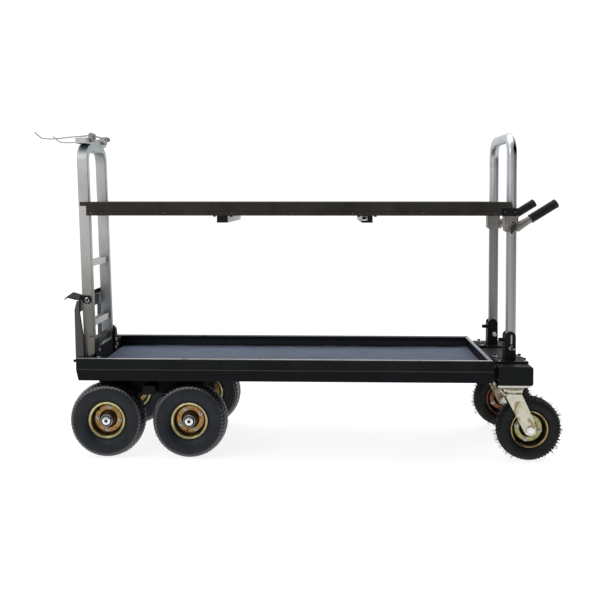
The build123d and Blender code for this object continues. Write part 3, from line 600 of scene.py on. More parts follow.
# The far post: a copy of the handle aluminium with deeper painted shade, as it stands in shade.
SHADED_FAR_TUBE_METAL = brushed_aluminium("far_post_shaded_aluminium", GRAIN_Z, (0.56, 0.57, 0.585), (0.36, 0.5),
                                   shade_below=(0.87, 0.78, 0.42))
PAN_METAL = brushed_aluminium("capping_aluminium", GRAIN_X, (0.46, 0.465, 0.465), stained=0.1)
# Toe frame: aluminium with a near-black tint as painted shade, since it stands in shadow.
SHADED_TOE_METAL = brushed_aluminium("toe_shaded_aluminium", GRAIN_Z, (0.085, 0.090, 0.088), (0.4, 0.55))
RAIL_METAL = brushed_aluminium("cross_rail_aluminium", GRAIN_Y, (0.52, 0.52, 0.51))
FOOT_METAL = brushed_aluminium("ladder_foot_aluminium", GRAIN_Z, (0.20, 0.185, 0.165), (0.4, 0.55))
WELD_METAL = cast_aluminium("weld_bead", (0.26, 0.25, 0.24), (0.40, 0.39, 0.38))
CAST_METAL = cast_aluminium("cast_collar", (0.19, 0.18, 0.165), (0.28, 0.265, 0.25))
ZINC = bright_zinc("bright_zinc")
PLATE_ZINC = bright_zinc("caster_plate_zinc", (0.62, 0.62, 0.60), (0.24, 0.4), dark_before=0.6885)
WIRE_ZINC = bright_zinc("hook_wire_zinc", (0.27, 0.27, 0.26), (0.4, 0.55), (0.20, 0.19, 0.16))
HUB_ZINC = bright_zinc("hub_zinc", (0.55, 0.60, 0.66), (0.24, 0.4), (0.34, 0.33, 0.30))
LIP_ZINC = yellow_zinc("rim_lip_zinc", LIP_GREEN, (0.26, 0.4), 16.0)
BOWL_SHADE_ZINC = yellow_zinc("rim_bowl_shaded_zinc", BOWL_SHADE_BROWN, (0.34, 0.5))
DISC_ZINC = yellow_zinc("rim_disc_zinc", DISC_COPPER, (0.3, 0.44))
CASTER_LIP_ZINC = yellow_zinc("caster_lip_zinc", CASTER_GOLD, (0.24, 0.38), 16.0)
CASTER_GROOVE_SHADE = yellow_zinc("caster_groove_shaded_zinc", GROOVE_SHADE_BLACK, (0.4, 0.6))
CASTER_DISC_ZINC = yellow_zinc("caster_disc_zinc", CASTER_GREEN, (0.26, 0.4), 20.0)
FAR_CASTER_SHADE_ZINC = yellow_zinc("far_caster_shaded_zinc", FAR_CASTER_SHADE_RED, (0.34, 0.5), 20.0)
RACE_ZINC = yellow_zinc("race_yellow_zinc", RACE_GREY, (0.28, 0.42), 40.0)
FORK_METAL = yellow_zinc("fork_zinc", FORK_GREY, (0.26, 0.42), 26.0)
FAR_FORK_SHADE_METAL = yellow_zinc("far_fork_shaded_zinc", FAR_FORK_SHADE_GREY, (0.26, 0.42), 26.0)
STEEL = polished_steel("polished_steel")
WHEEL_BOLT = polished_steel("wheel_bolt_steel", (0.46, 0.46, 0.44))
SCREW_STEEL = polished_steel("screw_steel", (0.16, 0.155, 0.15))
# Near-black steel set into drive and socket holes as painted shade.
HOLE_SHADE_STEEL = polished_steel("hole_shade_steel", (0.035, 0.035, 0.04))
SIDE_RUBBER = rubber("rear_tyre_side_rubber", (0.0082, 0.0108, 0.0155), (0.035, 0.042, 0.055),
                     0.28, 0.5)
TREAD_RUBBER = rubber("rear_tyre_tread_rubber", (0.0060, 0.0070, 0.0090), (0.045, 0.052, 0.062),
                      0.28, 0.24, gloss=0.9)
CASTER_RUBBER = rubber("caster_tyre_rubber", (0.0036, 0.0042, 0.0050), (0.018, 0.019, 0.021),
                       0.25, 0.6)
SEAL_RUBBER = rubber("seal_rubber", (0.006, 0.006, 0.0065), (0.03, 0.03, 0.03), 0.15, 0.5)
GRIP_RUBBER = rubber("grip_rubber", (0.0055, 0.0068, 0.0088), (0.03, 0.033, 0.038), 0.15, 0.5, 1500.0)
DECK_FELT = felt("deck_felt", (0.047, 0.064, 0.108), (0.190, 0.250, 0.395))
SHELF_FELT = felt("shelf_felt", (0.012, 0.012, 0.013), (0.045, 0.045, 0.048))
KNOB_PLASTIC = dark_plastic("knob_plastic", (0.012, 0.012, 0.013))
CAP_PLASTIC = dark_plastic("cap_plastic", (0.006, 0.006, 0.007), 0.5)

CAD_FINISH = [
    (RAIL_BLACK, "side_rails"),
    (WALL_BLACK, "tray_end_walls"),
    (BLACK, "tray_floor cross_members end_beam beam_spacers axle_carrier socket_plates "
            "socket_brackets plunger_barrels ladder_gussets latch_bail toe_brackets near_plunger "
            "far_plunger shelf_post_clamps shelf_rail_clips"),
    (ZINC, "rear_axles"),
    (PLATE_ZINC, "caster_plates"),
    (RACE_ZINC, "caster_kingpins"),
    (LADDER_METAL, "ladder_frame"),
    (RUNG_METAL, "ladder_rungs"),
    (FOOT_METAL, "ladder_feet"),
    (BOLT_BLACK, "frame_bolts"),
    (PAN_METAL, "hook_plate"),
    (WIRE_ZINC, "hook_rack"),
    (SHADED_TOE_METAL, "toe_frame"),
    (TUBE_METAL, "near_post handle_loop"),
    (SHADED_FAR_TUBE_METAL, "far_post"),
    (CAST_METAL, "near_collar far_collar"),
    (FORK_METAL, "near_fork"),
    (FAR_FORK_SHADE_METAL, "far_fork"),
    (SHELF_BLACK, "shelf_side_rails shelf_ends shelf_panel"),
    (RAIL_METAL, "shelf_cross_rails"),
]


def finish_cad_nodes():
    for material, names in CAD_FINISH:
        for name in names.split():
            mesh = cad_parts[name].data
            mesh.materials.clear()
            mesh.materials.append(material)


# ---------------------------------------------------------------- tyres
REAR = SimpleNamespace(
    radius=127.5, half=42.5, bead=26.0, steps=504, lip_in=53.6, hub_r=20.5, hub_half=34.0, bolt=9.5,
    hairs=60, hair_band=34.0, hair_length=6.5, hair_r=0.6, hair_side_room=42.5)
CASTER = SimpleNamespace(
    radius=108.5, half=32.5, bead=22.0, steps=560, lip_in=56.2, hub_r=19.0, hub_half=34.5, bolt=11.0,
    hairs=190, hair_band=24.0, hair_length=14.0, hair_r=0.85, hair_side_room=33.5)
BEAD_R, LIP_R, SHOULDER_DROP, SHOULDER_IN = 60.0, 64.0, 8.0, 6.0
TREAD_STEPS, TREAD_BLOCKS, TREAD_FACE = 34, 56, 17.0
HAIRLESS_BELOW = -0.88


def notch(phase, width, soft):
    """1 inside a groove centred on whole numbers of phase, 0 outside, with soft flanks."""
    away = abs((phase + 0.5) % 1.0 - 0.5)
    return 1.0 - smooth_step(width, width + soft, away)


def tyre_profile(wheel):
    """Outline of a tyre from one bead to the other, with raised lines on its side walls."""
    wall_r = (wheel.radius + BEAD_R) / 2
    shoulder_r, shoulder = wheel.radius - SHOULDER_DROP, wheel.half - SHOULDER_IN
    side = arc((LIP_R, wheel.bead), (wall_r, wheel.half), (shoulder_r, shoulder), 22)
    line_radii = (LIP_R + 5, LIP_R + 8.5, shoulder_r - 12)
    ribbed = []
    for r, y in side:
        lift = sum(0.55 * math.exp(-((r - at) / 0.9) ** 2) for at in line_radii)
        ribbed.append((r, min(wheel.half, y + lift - 0.3)))
    tread = arc((shoulder_r, shoulder), (wheel.radius, 0), (shoulder_r, -shoulder), TREAD_STEPS)[1:-1]
    mirrored = [(r, -y) for r, y in reversed(ribbed)]
    return [(BEAD_R, wheel.bead - 1)] + ribbed + tread + mirrored + [(BEAD_R, 1 - wheel.bead)]


def road_tread(angle, r, y):
    """Rear tread: zigzag ribs in the middle and curved shoulder blocks with sipes."""
    crown = REAR.radius - SHOULDER_DROP - 9.0
    if r < crown:
        return r, y
    pitch = angle / TAU * TREAD_BLOCKS
    zigzag = abs((pitch % 1.0) - 0.5) * 4 - 1
    ring = 1.0 - smooth_step(1.0, 2.1, abs(abs(y + 1.6 * zigzag) - 7.0))
    ring = max(ring, 1.0 - smooth_step(1.2, 2.4, abs(abs(y) - 19.0 - 1.3 * zigzag)))
    curve = 0.018 * abs(y)
    phase = pitch + (curve if y > 0 else -curve + 0.5)
    block = notch(phase, 0.085, 0.07) if abs(y) > 19.5 else 0.0
    sipe = 0.5 * notch(phase + 0.5, 0.03, 0.05) if abs(y) > 23 else 0.0
    middle = 0.55 * notch(pitch * 2 + y * 0.05, 0.07, 0.12) if abs(y) < 18 else 0.0
    depth = 2.4 * max(ring, block, sipe, middle)
    return r - depth * smooth_step(crown, crown + 4.5, r), y


def knobbly_tread(angle, r, y):
    """Caster tread: rows of separate blocks, each row a little behind the one beside it."""
    crown = CASTER.radius - SHOULDER_DROP - 5.0
    if r < crown:
        return r, y
    across = abs(y)
    row = 0 if across < 7.5 else 1 if across < 17.0 else 2
    hollow = notch(angle / TAU * TREAD_BLOCKS + 0.1 * row, 0.15, 0.09)
    lanes = max(1.0 - smooth_step(0.9, 2.1, abs(across - lane)) for lane in (7.6, 17.0))
    depth = 4.2 * max(hollow, lanes)
    return r - depth * smooth_step(crown, crown + 5.0, r), y


def tyre_piece(name, node, body, wheel, tread, materials):
    """The second material, where there is one, covers the tread and shoulders."""
    centre = centre_of(node)
    bm = bmesh.new()
    place = facing(centre, (0, 1, 0), random.random() * TAU)
    lathe(bm, tyre_profile(wheel), wheel.steps, place, shape=tread)
    for face in bm.faces if len(materials) > 1 else ():
        offset = face.calc_center_median() - centre
        if math.hypot(offset.x, offset.z) / MM > wheel.radius - TREAD_FACE:
            face.material_index = 1
    piece(name, bm, body, materials, [node])


def vent_hairs(body, centre, wheel, material):
    """Thin moulding hairs that stand off a tyre's tread, left off where the tyre meets the floor."""
    bm = bmesh.new()
    reach_x = (CAD_BOX[1].x - centre.x) / MM - 1.4
    for _ in range(wheel.hairs):
        angle = random.random() * TAU
        y = random.uniform(-wheel.hair_band, wheel.hair_band)
        swing = random.uniform(-0.5, 0.5)
        size = wheel.hair_length * random.uniform(0.75, 1.25)
        if math.sin(angle) < HAIRLESS_BELOW:
            continue
        lean = y / wheel.hair_band
        start_r = wheel.radius - 4.0 * abs(lean) - 2.5
        forward = Vector((-math.sin(angle), 0, math.cos(angle)))
        outward = Vector((math.cos(angle), 0.6 * lean, math.sin(angle)))
        root = Vector((math.cos(angle) * start_r, y, math.sin(angle) * start_r))
        tip = root + (outward + forward * swing).normalized() * size
        tip.x = min(tip.x, reach_x)
        tip.y = max(-wheel.hair_side_room, min(wheel.hair_side_room, tip.y))
        bend = (root + tip) / 2 + forward * swing * 1.4
        tube(bm, [tuple(root), tuple(bend), tuple(tip)], lambda i: wheel.hair_r * (1.0, 0.8, 0.5)[i],
             Matrix.Translation(centre), sides=4)
    piece(f"{body}_hairs", bm, body, [material])


# ---------------------------------------------------------------- wheel cores
SEAT_R, BOLT_CIRCLE_R, WEB_FACE = 59.8, 39.0, 2.6
BOSS_R, DISC_EDGE_R, BOWL_DEPTH = 30.0, 45.5, 5.5


def rim_profile(wheel):
    """Section of one pressed rim half, from the hub out to the rolled lip and back inside."""
    edge = wheel.bead + 2.8
    boss = [(0, 0.2), (0, 8.2), (1.2, 9.2), (4, 9.2), (6.2, 7.6), (8.2, 4.6), (10, 3.3), (12, 2.8)]
    disc = [(43.5, 2.7), (45.5, 3.1), (48.0, 4.6), (50.0, 7.4), (51.2, 11.0)]
    wall = [(-1.4, -8), (-0.8, -4), (0.2, -1), (1.6, 0.8)]
    lip = [(58.6, 1.0), (60.0, 0.3), (61.2, 0.1), (62.2, 0.8), (62.5, 1.6), (62.1, 2.3),
           (SEAT_R, 2.6)]
    return (
        [(wheel.hub_r + r, y) for r, y in boss] + disc
        + [(wheel.lip_in + r, wheel.bead + y) for r, y in wall]
        + [(r, edge - y) for r, y in lip] + [(SEAT_R, 0.2)]
    )


def rim_piece(body, node, wheel, materials, place_pair):
    """Both rim halves, coloured as lip ring, disc, and bowl wall in painted shade and reflection."""
    bm = bmesh.new()
    for place in place_pair:
        lathe(bm, rim_profile(wheel), 96, place)
    for face in bm.faces:
        local = place_pair[0].inverted() @ face.calc_center_median()
        radius, height = math.hypot(local.x, local.y) / MM, abs(local.z) / MM
        if BOSS_R < radius < DISC_EDGE_R:
            face.material_index = 2
        # The bowl wall, whose dark zinc is painted shade and painted reflection of the tyre.
        elif height < wheel.bead - BOWL_DEPTH:
            face.material_index = 1
    piece(f"{body}_rim", bm, body, materials, [node])


def core_hardware(body, wheel, place_pair):
    """Four bolts with washers, hub barrel, bearings, seals and the tyre valve."""
    bolts, steel, hub, dark = (bmesh.new() for _ in range(4))
    hub_r, half, bolt = wheel.hub_r, wheel.hub_half, wheel.bolt
    for place in place_pair:
        for k in range(4):
            at = TAU * (k + 0.5) / 4
            foot = place @ raised(WEB_FACE, around(at, BOLT_CIRCLE_R))
            washer(bolts, foot, bolt * 0.72, 1.2)
            hexagon(bolts, foot @ raised(1.2), bolt, 4.6)
            threaded_stud(bolts, foot @ raised(5.8), bolt * 0.26, 3.2)
            between = place @ raised(0, around(at + TAU / 8, BOLT_CIRCLE_R + 1.0))
            plug(dark, [(2.1, 2.5), (2.1, 3.0), (1.6, 3.2)], 16, between)
        barrel = [(hub_r - 1.5, 0.0), (hub_r, 0.0), (hub_r, half - 0.8), (hub_r - 0.8, half),
                  (hub_r - 1.5, half)]
        lathe(hub, barrel, 64, place)
        race = [(8.3, half - 9.5), (13.4, half - 9.5), (13.4, half - 0.7), (12.8, half - 0.2),
                (8.3, half - 0.2)]
        lathe(steel, race, 48, place)
        seal = [(13.5, half - 9.5), (hub_r - 1.6, half - 9.5), (hub_r - 1.6, half - 0.5),
                (16.0, half - 1.2), (13.5, half - 0.6)]
        lathe(dark, seal, 64, place)
    root, tip = Vector((0, 51.0, 9.0)), Vector((0, 43.5, 24.0))
    stem = [tuple(root.lerp(tip, share)) for share in (0, 0.55, 0.58, 1)]
    tube(dark, stem, lambda i: (4.2, 3.4, 4.0, 3.6)[i], place_pair[0], sides=16)
    piece(f"{body}_bolts", bolts, body, [WHEEL_BOLT])
    piece(f"{body}_bearings", steel, body, [STEEL])
    piece(f"{body}_hub", hub, body, [HUB_ZINC])
    piece(f"{body}_seals_and_valve", dark, body, [SEAL_RUBBER])


def axle_caps():
    """Domed caps on the axle ends, each with a dark disc as painted shade in its round socket."""
    steel, dark = bmesh.new(), bmesh.new()
    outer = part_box("axle_end_bolts")[1].y
    for label, side in SIDES.items():
        for position in ("outer", "inner"):
            centre = centre_of(f"{label}_{position}_rear_wheel")
            foot = facing((centre.x, side * (outer - 4.0 * MM), centre.z), (0, side, 0))
            button_bolt(steel, dark, foot, 14.8, 4.0, 0.4)
    piece("axle_caps", steel, "chassis", [STEEL], ["axle_end_bolts"])
    piece("axle_cap_sockets", dark, "chassis", [HOLE_SHADE_STEEL])


REAR_TURNS = {("near", "outer"): 39, ("near", "inner"): 163,
              ("far", "outer"): 20, ("far", "inner"): 110}
CASTER_TURNS = {"near": 32, "far": 75}


def build_wheel(wheel, body, side, nodes, tyre_name, tread, rubbers, zincs, turn):
    """Tyre, hairs, rim and hardware.  nodes are the CAD nodes of the tyre and of the core."""
    tyre_node, core_node = nodes
    tyre_piece(tyre_name, tyre_node, body, wheel, tread, rubbers)
    vent_hairs(body, centre_of(tyre_node), wheel, rubbers[-1])
    centre = centre_of(core_node)
    pair = [facing(centre, (0, side * out, 0), math.radians(turn)) for out in (1, -1)]
    rim_piece(body, core_node, wheel, zincs, pair)
    core_hardware(body, wheel, pair)


def build_wheels():
    for label, side in SIDES.items():
        for position in ("outer", "inner"):
            body, node = f"{label}_{position}_wheel", f"{label}_{position}_rear"
            build_wheel(REAR, body, side, (f"{node}_tyre", f"{node}_wheel"), f"{body}_tyre",
                        road_tread, [SIDE_RUBBER, TREAD_RUBBER], [LIP_ZINC, BOWL_SHADE_ZINC, DISC_ZINC],
                        REAR_TURNS[label, position])
        body = f"{label}_caster"
        # The far caster's rim takes the darker red zinc as painted shade.
        lip, disc = (FAR_CASTER_SHADE_ZINC,) * 2 if label == "far" else (CASTER_LIP_ZINC, CASTER_DISC_ZINC)
        build_wheel(CASTER, body, side, (f"{body}_tyre", f"{body}_wheel"), f"{body}_rubber",
                    knobbly_tread, [CASTER_RUBBER], [lip, CASTER_GROOVE_SHADE, disc], CASTER_TURNS[label])
        caster_axle_heads(label, side)


FORK_HALF = 39.5


def caster_axle_heads(label, side):
    """Round flat heads over the hexagons of the caster axle."""
    bm = bmesh.new()
    centre = centre_of(f"{label}_caster_wheel")
    for out in (1, -1):
        foot = facing(centre + Vector((0, out * side * FORK_HALF * MM, 0)), (0, out * side, 0))
        plug(bm, [(14.2, 0), (14.2, 6.0), (13.7, 6.45), (2.0, 6.6)], 40, foot)
    piece(f"{label}_axle_heads", bm, f"{label}_swivel", [ZINC])


# ---------------------------------------------------------------- felt
def felt_sheet(name, node, body, material, thickness, waves, cell=0.006):
    """A laid sheet of even thickness with low waves and slightly lifted edges."""
    low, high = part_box(node)
    span = high - low
    room = span.z - thickness
    columns, rows = int(span.x / cell), int(span.y / cell)
    bm = bmesh.new()
    top, under = [], []
    for i in range(columns + 1):
        top_row, under_row = [], []
        for j in range(rows + 1):
            x = low.x + span.x * i / columns
            y = low.y + span.y * j / rows
            edge = max(abs(2 * j / rows - 1) ** 14, abs(2 * i / columns - 1) ** 60)
            swell = noise.noise(Vector((x * 6.0, y * 11.0, 3.7)))
            swell += 0.5 * noise.noise(Vector((x * 19, y * 23, 9)))
            lift = smooth_step(-0.15, 0.75, swell) * waves + edge * (0.5 + 0.5 * swell) * (1 - waves)
            base = low.z + room * max(0.0, min(1.0, lift))
            under_row.append(bm.verts.new((x, y, base)))
            fluff = 0.25 * MM * noise.noise(Vector((x * 400, y * 400, 0)))
            top_row.append(bm.verts.new((x, y, min(high.z, base + thickness - 0.25 * MM + fluff))))
        top.append(top_row)
        under.append(under_row)
    for i in range(columns):
        for j in range(rows):
            bm.faces.new((top[i][j], top[i + 1][j], top[i + 1][j + 1], top[i][j + 1]))
            bm.faces.new((under[i][j], under[i][j + 1], under[i + 1][j + 1], under[i + 1][j]))
    for j in range(rows):
        for i in (0, columns):
            bm.faces.new((top[i][j], top[i][j + 1], under[i][j + 1], under[i][j]))
    for i in range(columns):
        for j in (0, rows):
            bm.faces.new((top[i][j], top[i + 1][j], under[i + 1][j], under[i][j]))
    sheet = piece(name, bm, body, [material], [node])


# ---------------------------------------------------------------- grips, knobs and small hardware
GRIP_ANGLE = math.radians(32)
GRIP_LEN, GRIP_R, GRIP_BORE, GRIP_RIBS = 105.0, 16.0, 12.6, 20


def grip_piece(label):
    """Ribbed rubber sleeve with a collar at its inner end and a domed outer end."""
    node = f"{label}_grip"
    direction = Vector((math.cos(GRIP_ANGLE), 0, math.sin(GRIP_ANGLE)))
    place = facing(centre_of(node) - direction * GRIP_LEN / 2 * MM, direction)
    profile = [(GRIP_BORE, 0), (GRIP_R - 0.8, 0), (GRIP_R, 0.8), (GRIP_R, 4.2), (GRIP_R - 1.0, 5.4)]
    groove_r, rib_r = GRIP_R - 1.5, GRIP_R - 0.35
    for k in range(GRIP_RIBS):
        at = 8.0 + 84.0 * k / GRIP_RIBS
        profile += [(groove_r, at), (rib_r, at + 1.0), (rib_r, at + 2.6), (groove_r, at + 3.5)]
    profile += [(GRIP_R - 0.4, 94.5), (GRIP_R, 96.0), (GRIP_R, 100.5), (GRIP_R - 1.2, 103.6),
                (GRIP_R - 4.5, GRIP_LEN), (2.0, GRIP_LEN), (2.0, 101.0), (GRIP_BORE, 95.5)]
    bm = bmesh.new()
    lathe(bm, profile, 64, place)
    piece(f"{label}_ribbed_grip", bm, f"{label}_slider", [GRIP_RUBBER], [node])


KNOB_TURN, KNOB_DEPTH = math.radians(62), 13.0
KNOB_LAYERS = ((3.6, 0.93), (4.6, 1.0), (11.4, 0.97), (12.6, 0.9))


def knob_piece(label, side):
    """Two-winged moulded knob, a long diamond with a round hub, on a threaded screw."""
    node = f"{label}_clamp_knob"
    low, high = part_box(node)
    centre = (low + high) / 2
    outer_y = low.y if side < 0 else high.y
    inner_y = high.y if side < 0 else low.y
    hub_y = outer_y - side * KNOB_DEPTH * MM
    hub = Vector((centre.x, hub_y, centre.z))
    along = Vector((math.cos(KNOB_TURN), 0, math.sin(KNOB_TURN)))
    across = Vector((-math.sin(KNOB_TURN), 0, math.cos(KNOB_TURN)))
    bm = bmesh.new()
    wing = [(19.0, 3.0), (8.0, 6.2), (0.0, 7.4), (-8.0, 6.2), (-19.0, 3.0)]
    outline = wing + [(a, -b) for a, b in reversed(wing)]
    layers = []
    for height, scale in KNOB_LAYERS:
        middle = hub + Vector((0, side * height * MM, 0))
        ring = []
        for a, b in outline:
            offset = along * (a * min(scale, 0.995)) + across * (b * scale * 0.88)
            ring.append(bm.verts.new(middle + offset * MM))
        layers.append(ring)
    for lower, upper in zip(layers, layers[1:]):
        for k in range(len(outline)):
            m = (k + 1) % len(outline)
            bm.faces.new((lower[k], lower[m], upper[m], upper[k]))
    bm.faces.new(layers[0])
    bm.faces.new(layers[-1])
    boss = [(5.5, 0), (6.6, 0.8), (7.0, 2.0), (7.0, 12.0), (6.2, 12.9), (2.6, KNOB_DEPTH),
            (2.2, 12.4)]
    plug(bm, boss, 48, facing(hub, (0, side, 0)))
    piece(f"{label}_wing_knob", bm, f"{label}_knob", [KNOB_PLASTIC], [node])
    screw = bmesh.new()
    length = abs(inner_y - outer_y) / MM - KNOB_DEPTH
    threaded_stud(screw, facing(hub, (0, -side, 0)), 4.0, length, pitch=1.25)
    piece(f"{label}_knob_screw", screw, f"{label}_knob", [STEEL])


COLLAR_HALF_Y = 24.0
SET_SCREW_DX, SET_SCREW_Z, SET_SCREW_R = 1.0, 798.2, 2.9


def collar_set_screw(label, side):
    """Black grub screw sunk in the drilled hole on the outer face of the collar."""
    post = centre_of(f"{label}_post")
    bm = bmesh.new()
    face = post.y + side * COLLAR_HALF_Y * MM
    place = facing((post.x + SET_SCREW_DX * MM, face, SET_SCREW_Z * MM), (0, side, 0))
    plug(bm, [(SET_SCREW_R, -3.0), (SET_SCREW_R, -0.4), (1.6, -0.3), (1.4, -1.6)], 24, place)
    piece(f"{label}_set_screw", bm, f"{label}_slider", [CAP_PLASTIC])


STUD_DX, STUD_DY = (-46.0, 39.0), (-38.0, 38.0)


def socket_studs():
    """Capped studs with nuts and washers on the corners of the socket plates."""
    steel, caps = bmesh.new(), bmesh.new()
    plate_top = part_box("socket_plates")[1].z
    for label in SIDES:
        post = centre_of(f"{label}_post")
        for dx in STUD_DX:
            for dy in STUD_DY:
                place = Matrix.Translation((post.x + dx * MM, post.y + dy * MM, plate_top))
                washer(steel, place, 7.4, 1.2)
                hexagon(steel, place @ raised(1.2), 12.6, 3.8)
                threaded_stud(steel, place @ raised(5.0), 3.6, 1.8)
                cap = [(3.7, 0), (5.8, 0.2), (6.1, 0.8), (6.1, 4.2), (5.0, 5.2), (2.0, 5.6)]
                plug(caps, cap, 28, place @ raised(6.2))
    piece("socket_studs", steel, "chassis", [WHEEL_BOLT], ["socket_bolts"])
    piece("stud_caps", caps, "chassis", [CAP_PLASTIC])


PIVOT_Z, PIVOT_HALF_SPAN = 368.0, 21.3
LATCH_X, LATCH_FACE_Y, LATCH_Z = -717.0, 137.0, 524.0


def button_bolt(bm, dark, place, radius, height, drive_share=0.66):
    """Domed head with a round drive in its middle, filled with a dark disc as painted shade."""
    drive = radius * drive_share
    head = [(drive, height - 0.2), (radius * 0.78, height - 0.5), (radius * 0.94, height - 1.4),
            (radius, 0.6), (radius - 0.4, 0.0), (drive, 0.0)]
    lathe(bm, head, 36, place)
    plug(dark, [(drive, 0.2), (drive, height - 0.4)], 24, place)


def pivot_hardware():
    """Handle pivot bolts through the sockets, and the latch bolts on the ladder rails."""
    steel, dark = bmesh.new(), bmesh.new()
    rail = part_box("ladder_frame")
    for label, side in SIDES.items():
        post = centre_of(f"{label}_post")
        pivot = Vector((post.x, post.y, PIVOT_Z * MM))
        reach = Vector((0, side * PIVOT_HALF_SPAN * MM, 0))
        outside, inside = pivot + reach, pivot - reach
        outward = (0, side, 0)
        button_bolt(steel, dark, facing(outside, outward), 10.0, 4.0)
        hexagon(steel, facing(inside, (0, -side, 0)), 16.0, 6.0)
        plug(steel, [(4.98, 0.0), (4.98, 2 * PIVOT_HALF_SPAN)], 32, facing(inside, outward))
        latch = Vector((LATCH_X, side * LATCH_FACE_Y, LATCH_Z)) * MM
        button_bolt(steel, dark, facing(latch, outward), 9.0, 4.0)
        latch.y = side * rail[1].y
        plug(steel, [(4.9, 0.0), (4.9, 6.0)], 24, facing(latch, outward))
    piece("pivot_hardware", steel, "chassis", [WHEEL_BOLT], ["pivot_bolts"])
    piece("pivot_drives", dark, "chassis", [HOLE_SHADE_STEEL])


def weld_bead(bm, corners, radius, ripple_mm=2.4):
    """Rippled bead along a closed run of corner points in mm."""
    points = []
    count = len(corners)
    for i, corner in enumerate(corners):
        start, end = Vector(corner), Vector(corners[(i + 1) % count])
        steps = max(2, int((end - start).length / 0.8))
        points += [tuple(start.lerp(end, k / steps)) for k in range(steps)]
    wobble = [radius * (1 + 0.22 * math.sin(TAU * i * 0.8 / ripple_mm)) for i in range(len(points))]
    tube(bm, points, lambda i: wobble[i], sides=8, loop=True)


def ladder_welds():
    """Beads where the rungs meet the rails."""
    bm = bmesh.new()
    corners = [v.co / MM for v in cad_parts["ladder_rungs"].data.vertices]
    half_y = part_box("ladder_rungs")[1].y / MM
    levels = sorted({round(co.z, 1) for co in corners if abs(co.y) > half_y - 1})
    groups = []
    for z in levels:
        if groups and z - groups[-1][-1] < 30:
            groups[-1].append(z)
        else:
            groups.append([z])
    for group in groups:
        z0, z1 = group[0], group[-1]
        xs = [co.x for co in corners if z0 - 0.2 <= co.z <= z1 + 0.2]
        x0, x1 = min(xs), max(xs)
        for side in SIDES.values():
            y = side * (half_y - 0.8)
            weld_bead(bm, [(x0, y, z0), (x1, y, z0), (x1, y, z1), (x0, y, z1)], 1.7)
    piece("ladder_welds", bm, "chassis", [WELD_METAL])


RAIL_SCREW_SHARES = (0.012, 0.19, 0.355, 0.5, 0.645, 0.81, 0.985)
CLAMP_SCREW_Y = (129.0, 191.0)


def shelf_screws():
    """Small blackened screws along the shelf rails and in the side and end faces of the clamps."""
    bm = bmesh.new()
    low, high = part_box("shelf_side_rails")
    clamp_low, clamp_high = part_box("shelf_post_clamps")
    places = []
    for side in SIDES.values():
        for share in RAIL_SCREW_SHARES:
            x = low.x + (high.x - low.x) * share
            places.append(((x, side * high.y, low.z + 9 * MM), (0, side, 0)))
        for x in (clamp_low.x + 12 * MM, clamp_high.x - 12 * MM):
            places.append(((x, side * clamp_high.y, clamp_low.z + 13 * MM), (0, side, 0)))
        for y in CLAMP_SCREW_Y:
            places.append(((clamp_high.x, side * y * MM, clamp_low.z + 15 * MM), (1, 0, 0)))
    for point, direction in places:
        plug(bm, [(2.4, 0), (2.5, 0.5), (2.0, 1.2), (1.0, 1.5)], 20, facing(point, direction))
    piece("shelf_screws", bm, "shelf", [SCREW_STEEL])


# ---------------------------------------------------------------- stage, light and camera
FLOOR_HALF, BACKDROP_R = 60.0, 58.0


def glowing(name, strength, **surface):
    """Material graph that shines white by itself."""
    g = Graph(name, **surface)
    g.shader.inputs["Emission Color"].default_value = (1.0, 1.0, 1.0, 1.0)
    g.shader.inputs["Emission Strength"].default_value = strength
    return g


def stage_object(name, bm, material):
    mesh = bpy.data.meshes.new(name)
    bm.to_mesh(mesh)
    bm.free()
    mesh.materials.append(material)
    made = bpy.data.objects.new(name, mesh)
    bpy.context.scene.collection.objects.link(made)
    return made


def build_stage():
    """White floor that shines a little, so that shadows on it stay faint."""
    bm = bmesh.new()
    bmesh.ops.create_grid(bm, x_segments=2, y_segments=2, size=FLOOR_HALF)
    g = glowing("studio_floor", 0.86, roughness=0.95, specular=0.1)
    tone = g.noise(0.6, 3.0, 0.5)
    g.to("Base Color", g.mix(tone, (0.22, 0.22, 0.22), (0.26, 0.26, 0.26)))
    floor = stage_object("studio_floor", bm, g.material)


def build_backdrop():
    """Pale backdrop all round, seen directly but neither lighting the cart nor mirrored in it."""
    bm = bmesh.new()
    bmesh.ops.create_uvsphere(bm, u_segments=48, v_segments=24, radius=BACKDROP_R)
    g = glowing("studio_backdrop", 1.12, roughness=1.0, specular=0.0)
    g.shader.inputs["Base Color"].default_value = (0.0, 0.0, 0.0, 1.0)
    g.material.cycles.emission_sampling = "NONE"
    backdrop = stage_object("studio_backdrop", bm, g.material)
    for ray in ("diffuse", "glossy", "transmission", "volume_scatter", "shadow"):
        setattr(backdrop, f"visible_{ray}", False)


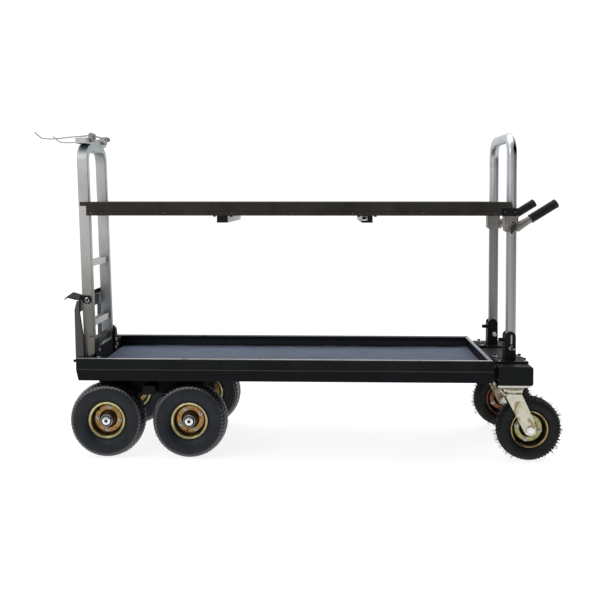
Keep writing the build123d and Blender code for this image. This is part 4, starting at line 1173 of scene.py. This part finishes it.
def build_world():
    """White sweep behind the cart that falls to grey behind the camera and at the handle end."""
    world = bpy.data.worlds.new("studio")
    bpy.context.scene.world = world
    world.use_nodes = True
    tree = world.node_tree
    background = tree.nodes["Background"]

    def add(kind, **values):
        made = tree.nodes.new("ShaderNode" + kind)
        for key, value in values.items():
            setattr(made, key, value)
        return made

    def slope(source, *limits):
        made = add("MapRange", interpolation_type="SMOOTHSTEP")
        tree.links.new(source, made.inputs["Value"])
        return set_range(made, *limits)

    def combine(operation, one, other):
        made = add("Math", operation=operation)
        tree.links.new(one, made.inputs[0])
        tree.links.new(other, made.inputs[1])
        return made.outputs[0]

    split = add("SeparateXYZ")
    tree.links.new(add("TexCoord").outputs["Generated"], split.inputs[0])
    behind = slope(split.outputs["Y"], -0.35, 0.45, 0.34, 1.12)
    sideways = slope(split.outputs["X"], 0.36, 0.75, 0.0, 0.75)
    overhead = slope(split.outputs["Z"], 0.45, 0.95, 0.0, 0.35)
    strength = combine("ADD", combine("SUBTRACT", behind, sideways), overhead)
    background.inputs["Color"].default_value = (0.98, 0.99, 1.0, 1.0)
    tree.links.new(strength, background.inputs["Strength"])


def area_light(name, location, target, size, power, colour=(1, 1, 1)):
    data = bpy.data.lights.new(name, "AREA")
    data.shape = "RECTANGLE"
    data.size, data.size_y = size
    data.energy = power
    data.color = colour
    light = bpy.data.objects.new(name, data)
    aim = (Vector(target) - Vector(location)).to_track_quat("-Z", "Y")
    light.matrix_world = Matrix.Translation(location) @ aim.to_matrix().to_4x4()
    bpy.context.scene.collection.objects.link(light)


def build_lights():
    area_light("overhead_softbox", (0.0, 0.2, 3.4), (0.0, 0.0, 0.0), (3.6, 2.4), 62)
    area_light("key_softbox", (-2.2, -2.2, 2.4), (0.0, 0.0, 0.5), (1.5, 1.5), 38, (1.0, 0.985, 0.96))
    area_light("rim_softbox", (2.4, 2.2, 1.6), (0.2, 0.0, 0.6), (1.2, 1.8), 18, (0.96, 0.98, 1.0))


LENS_MM, SENSOR_MM, SHIFT_Y = 50.43, 36.0, -0.1232667
EYE, LOOK_DOWN, LOOK_LEFT = (0.1199, -3.0412, 0.8772), 0.0323, 0.0318


def build_camera():
    """Eye level a little under the shelf top, square on to the cart's side."""
    data = bpy.data.cameras.new("camera")
    data.sensor_width = SENSOR_MM
    data.lens = LENS_MM
    data.shift_y = SHIFT_Y
    camera = bpy.data.objects.new("camera", data)
    camera.location = EYE
    camera.rotation_euler = (math.pi / 2 - LOOK_DOWN, 0.0, LOOK_LEFT)
    bpy.context.scene.collection.objects.link(camera)
    bpy.context.scene.camera = camera


finish_cad_nodes()
build_wheels()
felt_sheet("deck_carpet", "tray_carpet", "chassis", DECK_FELT, 4.4 * MM, 0.55)
felt_sheet("shelf_felt_mat", "shelf_mat", "shelf", SHELF_FELT, 4.0 * MM, 0.35,
           cell=0.01)
for label, side in SIDES.items():
    grip_piece(label)
    knob_piece(label, side)
    collar_set_screw(label, side)
socket_studs()
pivot_hardware()
axle_caps()
ladder_welds()
shelf_screws()
build_stage()
build_backdrop()
build_world()
build_lights()
build_camera()
bpy.context.scene.view_settings.view_transform = "Standard"
